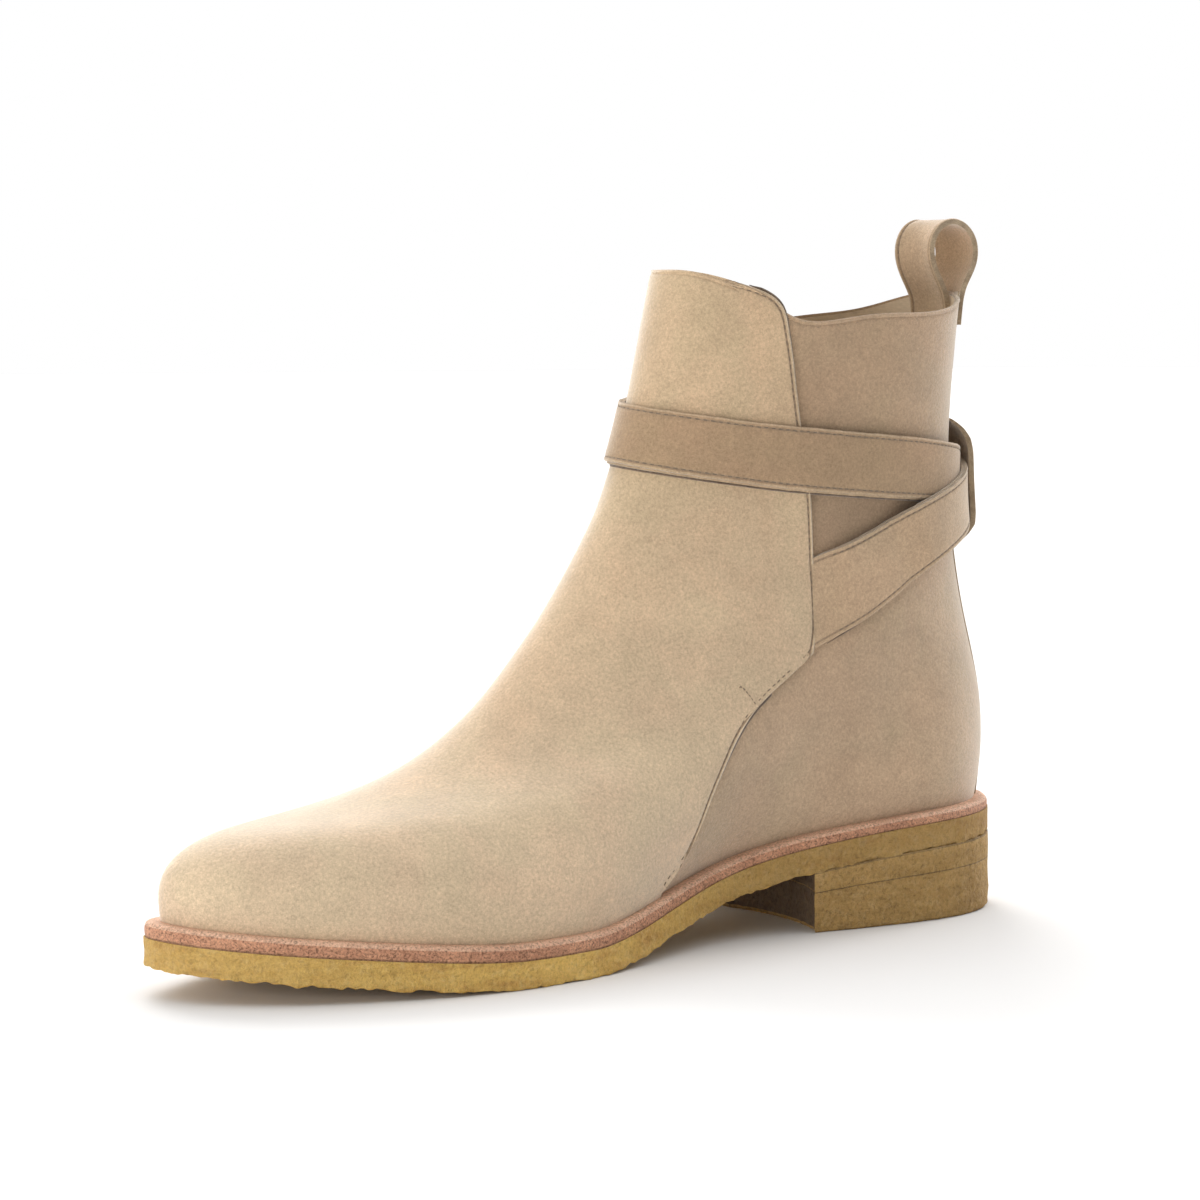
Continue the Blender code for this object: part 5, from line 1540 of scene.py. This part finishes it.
def tube(name, path, radii, sides, mats, closed_ends=True):
    """Round bar along a path of points in the buckle's own frame."""
    p = np.asarray(path, float)
    d = np.gradient(p, axis=0)
    d /= np.linalg.norm(d, axis=1, keepdims=True)
    y = np.array([0.0, 1.0, 0.0])
    w = np.cross(d, y)
    w /= np.linalg.norm(w, axis=1, keepdims=True)
    ang = np.arange(sides) * 2 * math.pi / sides
    ring = p[:, None] + np.asarray(radii)[:, None, None] * (w[:, None] * np.cos(ang)[None, :, None] + y[None, None] * np.sin(ang)[None, :, None])
    n = len(p) * sides
    faces = cells(len(p), sides, True).tolist()
    faces += [list(range(sides))[::-1], list(range(n - sides, n))]
    mesh = bpy.data.meshes.new(name)
    mesh.from_pydata((ring.reshape(-1, 3) * MM).tolist(), [], faces)
    mesh.transform(place)
    for m in mats:
        mesh.materials.append(m)
    bm = bmesh.new()
    bm.from_mesh(mesh)
    bmesh.ops.recalc_face_normals(bm, faces=bm.faces)
    bm.to_mesh(mesh)
    bm.free()
    mesh.shade_smooth()
    mesh.set_sharp_from_angle(angle=math.radians(50))
    ob = bpy.data.objects.new(name, mesh)
    bpy.context.scene.collection.objects.link(ob)
    return ob


reach = BUCKLE_LONG / 2 + 0.5
s = np.linspace(0, 1, 40)
x = -1.9 + (reach + 1.9) * s
z = 0.55 + (BUCKLE_T / 2 + 0.2 + PRONG_D / 2 - 0.55) * s ** 0.8 + 0.55 * np.sin(math.pi * s) ** 1.2
r = (PRONG_D / 2) * (1.02 - 0.22 * s) * np.sqrt(np.clip(1 - np.clip((s - 0.93) / 0.07, 0, 1) ** 2, 0.03, 1)) * np.sqrt(np.clip(1 - np.clip((0.05 - s) / 0.05, 0, 1) ** 2, 0.05, 1))
prong = tube("prong", np.column_stack([x, 0 * x, z]), r, 20, [BRASS_FACE])
carry(prong, "buckle_brass", "buckle_prong")


# Holes punched in the wrap strap: one for the prong, a spare one behind it.
def punch(x, long, wide, deep=9.0, z=0.0):
    w = np.arange(24) * 2 * math.pi / 24
    ring = np.column_stack([x + long / 2 * np.cos(w), wide / 2 * np.sin(w)])
    pts = np.concatenate([np.column_stack([ring, np.full(24, z - deep / 2)]), np.column_stack([ring, np.full(24, z + deep / 2)])])
    faces = [list(range(24))[::-1], list(range(24, 48))] + [[i, (i + 1) % 24, (i + 1) % 24 + 24, i + 24] for i in range(24)]
    mesh = bpy.data.meshes.new("punch")
    mesh.from_pydata((pts * MM).tolist(), [], faces)
    ob = bpy.data.objects.new("punch", mesh)
    bpy.context.scene.collection.objects.link(ob)
    ob.matrix_world = place
    return ob


holes = [punch(0.4, 5.4, 2.8, 7.0, 1.6), punch(-5.0, 2.7, 2.7, 9.0, 0.0)]
for ob in (wrap_top, wrap_low):
    for h in holes:
        cut(ob, h)
    baked(ob, 42)
for h in holes:
    bpy.data.objects.remove(h, do_unlink=True)
carry(wrap_top, "strap_suede", "wrap_strap")
carry(wrap_low, "strap_suede", "wrap_strap")
carry(buck_top, "strap_suede", "buckle_strap")
carry(buck_low, "strap_suede", "buckle_strap")

# ------------------------------------------------------------ floor, light, camera
me = bpy.data.meshes.new("floor")
me.from_pydata([(-14, -14, 0), (14, -14, 0), (14, 14, 0), (-14, 14, 0)], [], [(0, 1, 2, 3)])
floor = bpy.data.objects.new("floor", me)
bpy.context.scene.collection.objects.link(floor)
m = Nodes("floor_paper", 0.9)
m.finish(m.ramp(m.noise(3.0, 2.0), [(0.2, (0.75, 0.75, 0.75)), (0.8, (0.77, 0.77, 0.77))]))
m.bsdf.inputs["Specular IOR Level"].default_value = 0.1
me.materials.append(m.mat)

scene = bpy.context.scene
world = bpy.data.worlds.new("studio")
world.use_nodes = True
# A white room: bright behind and above the boot, dim on the side the camera stands on.
BACK = Vector((0.20, 0.80, 0.56)).normalized()
tree = world.node_tree
coord = tree.nodes.new("ShaderNodeTexCoord")
toward = tree.nodes.new("ShaderNodeVectorMath")
toward.operation = "DOT_PRODUCT"
toward.inputs[1].default_value = BACK
half = tree.nodes.new("ShaderNodeMath")
half.operation = "MULTIPLY_ADD"
half.inputs[1].default_value = 0.5
half.inputs[2].default_value = 0.5
shade = tree.nodes.new("ShaderNodeValToRGB")
for stop, at, grey in zip(shade.color_ramp.elements, (0.33, 0.76), (0.07, 1.0)):
    stop.position = at
    stop.color = (grey, grey, grey, 1.0)
tree.links.new(coord.outputs["Generated"], toward.inputs[0])
tree.links.new(toward.outputs["Value"], half.inputs[0])
tree.links.new(half.outputs[0], shade.inputs["Fac"])
tree.links.new(shade.outputs["Color"], tree.nodes["Background"].inputs["Color"])
# Seen directly, past the floor's far edge, the room is plain white.
paper = tree.nodes.new("ShaderNodeBackground")
choose = tree.nodes.new("ShaderNodeMixShader")
ray = tree.nodes.new("ShaderNodeLightPath")
tree.links.new(ray.outputs["Is Camera Ray"], choose.inputs[0])
tree.links.new(tree.nodes["Background"].outputs[0], choose.inputs[1])
tree.links.new(paper.outputs[0], choose.inputs[2])
tree.links.new(choose.outputs[0], tree.nodes["World Output"].inputs["Surface"])
paper.inputs["Color"].default_value = (1.0, 1.0, 1.0, 1.0)
tree.nodes["Background"].inputs["Strength"].default_value = 1.55
scene.world = world
scene.view_settings.view_transform = "Standard"


def sun(name, source, energy, angle, colour):
    lamp = bpy.data.lights.new(name, "SUN")
    lamp.energy = energy
    lamp.angle = math.radians(angle)
    lamp.color = colour
    ob = bpy.data.objects.new(name, lamp)
    scene.collection.objects.link(ob)
    ob.rotation_euler = Vector(source).to_track_quat("Z", "Y").to_euler()


sun("back_light", (0.25, 0.75, 0.66), 1.5, 30, (1.0, 0.985, 0.965))

sun("rim_light", (0.88, 0.12, 0.46), 1.4, 25, (1.0, 0.98, 0.96))

lamp = bpy.data.lights.new("side_softbox", "AREA")
lamp.shape = "RECTANGLE"
lamp.size, lamp.size_y = 0.5, 0.4
lamp.energy = 3.8
softbox = bpy.data.objects.new("side_softbox", lamp)
scene.collection.objects.link(softbox)
softbox.location = placed((-950.0, -420.0, 130.0))
softbox.rotation_euler = (Vector(placed((-200.0, 0.0, 50.0))) - softbox.location).to_track_quat("-Z", "Y").to_euler()

cam = bpy.data.cameras.new("camera")
camera = bpy.data.objects.new("camera", cam)
bpy.context.scene.collection.objects.link(camera)
cam.sensor_width = 36.0
cam.lens = 99.0
cam.clip_start = 0.05
cam.clip_end = 60.0
eye = Vector(placed((-729.1, -799.1, 181.5)))
aim = Vector(placed((-146.0, 0.9, 103.0)))
camera.location = eye
look = (aim - eye).to_track_quat("-Z", "Y")
camera.rotation_euler = look.to_euler()
scene.camera = camera
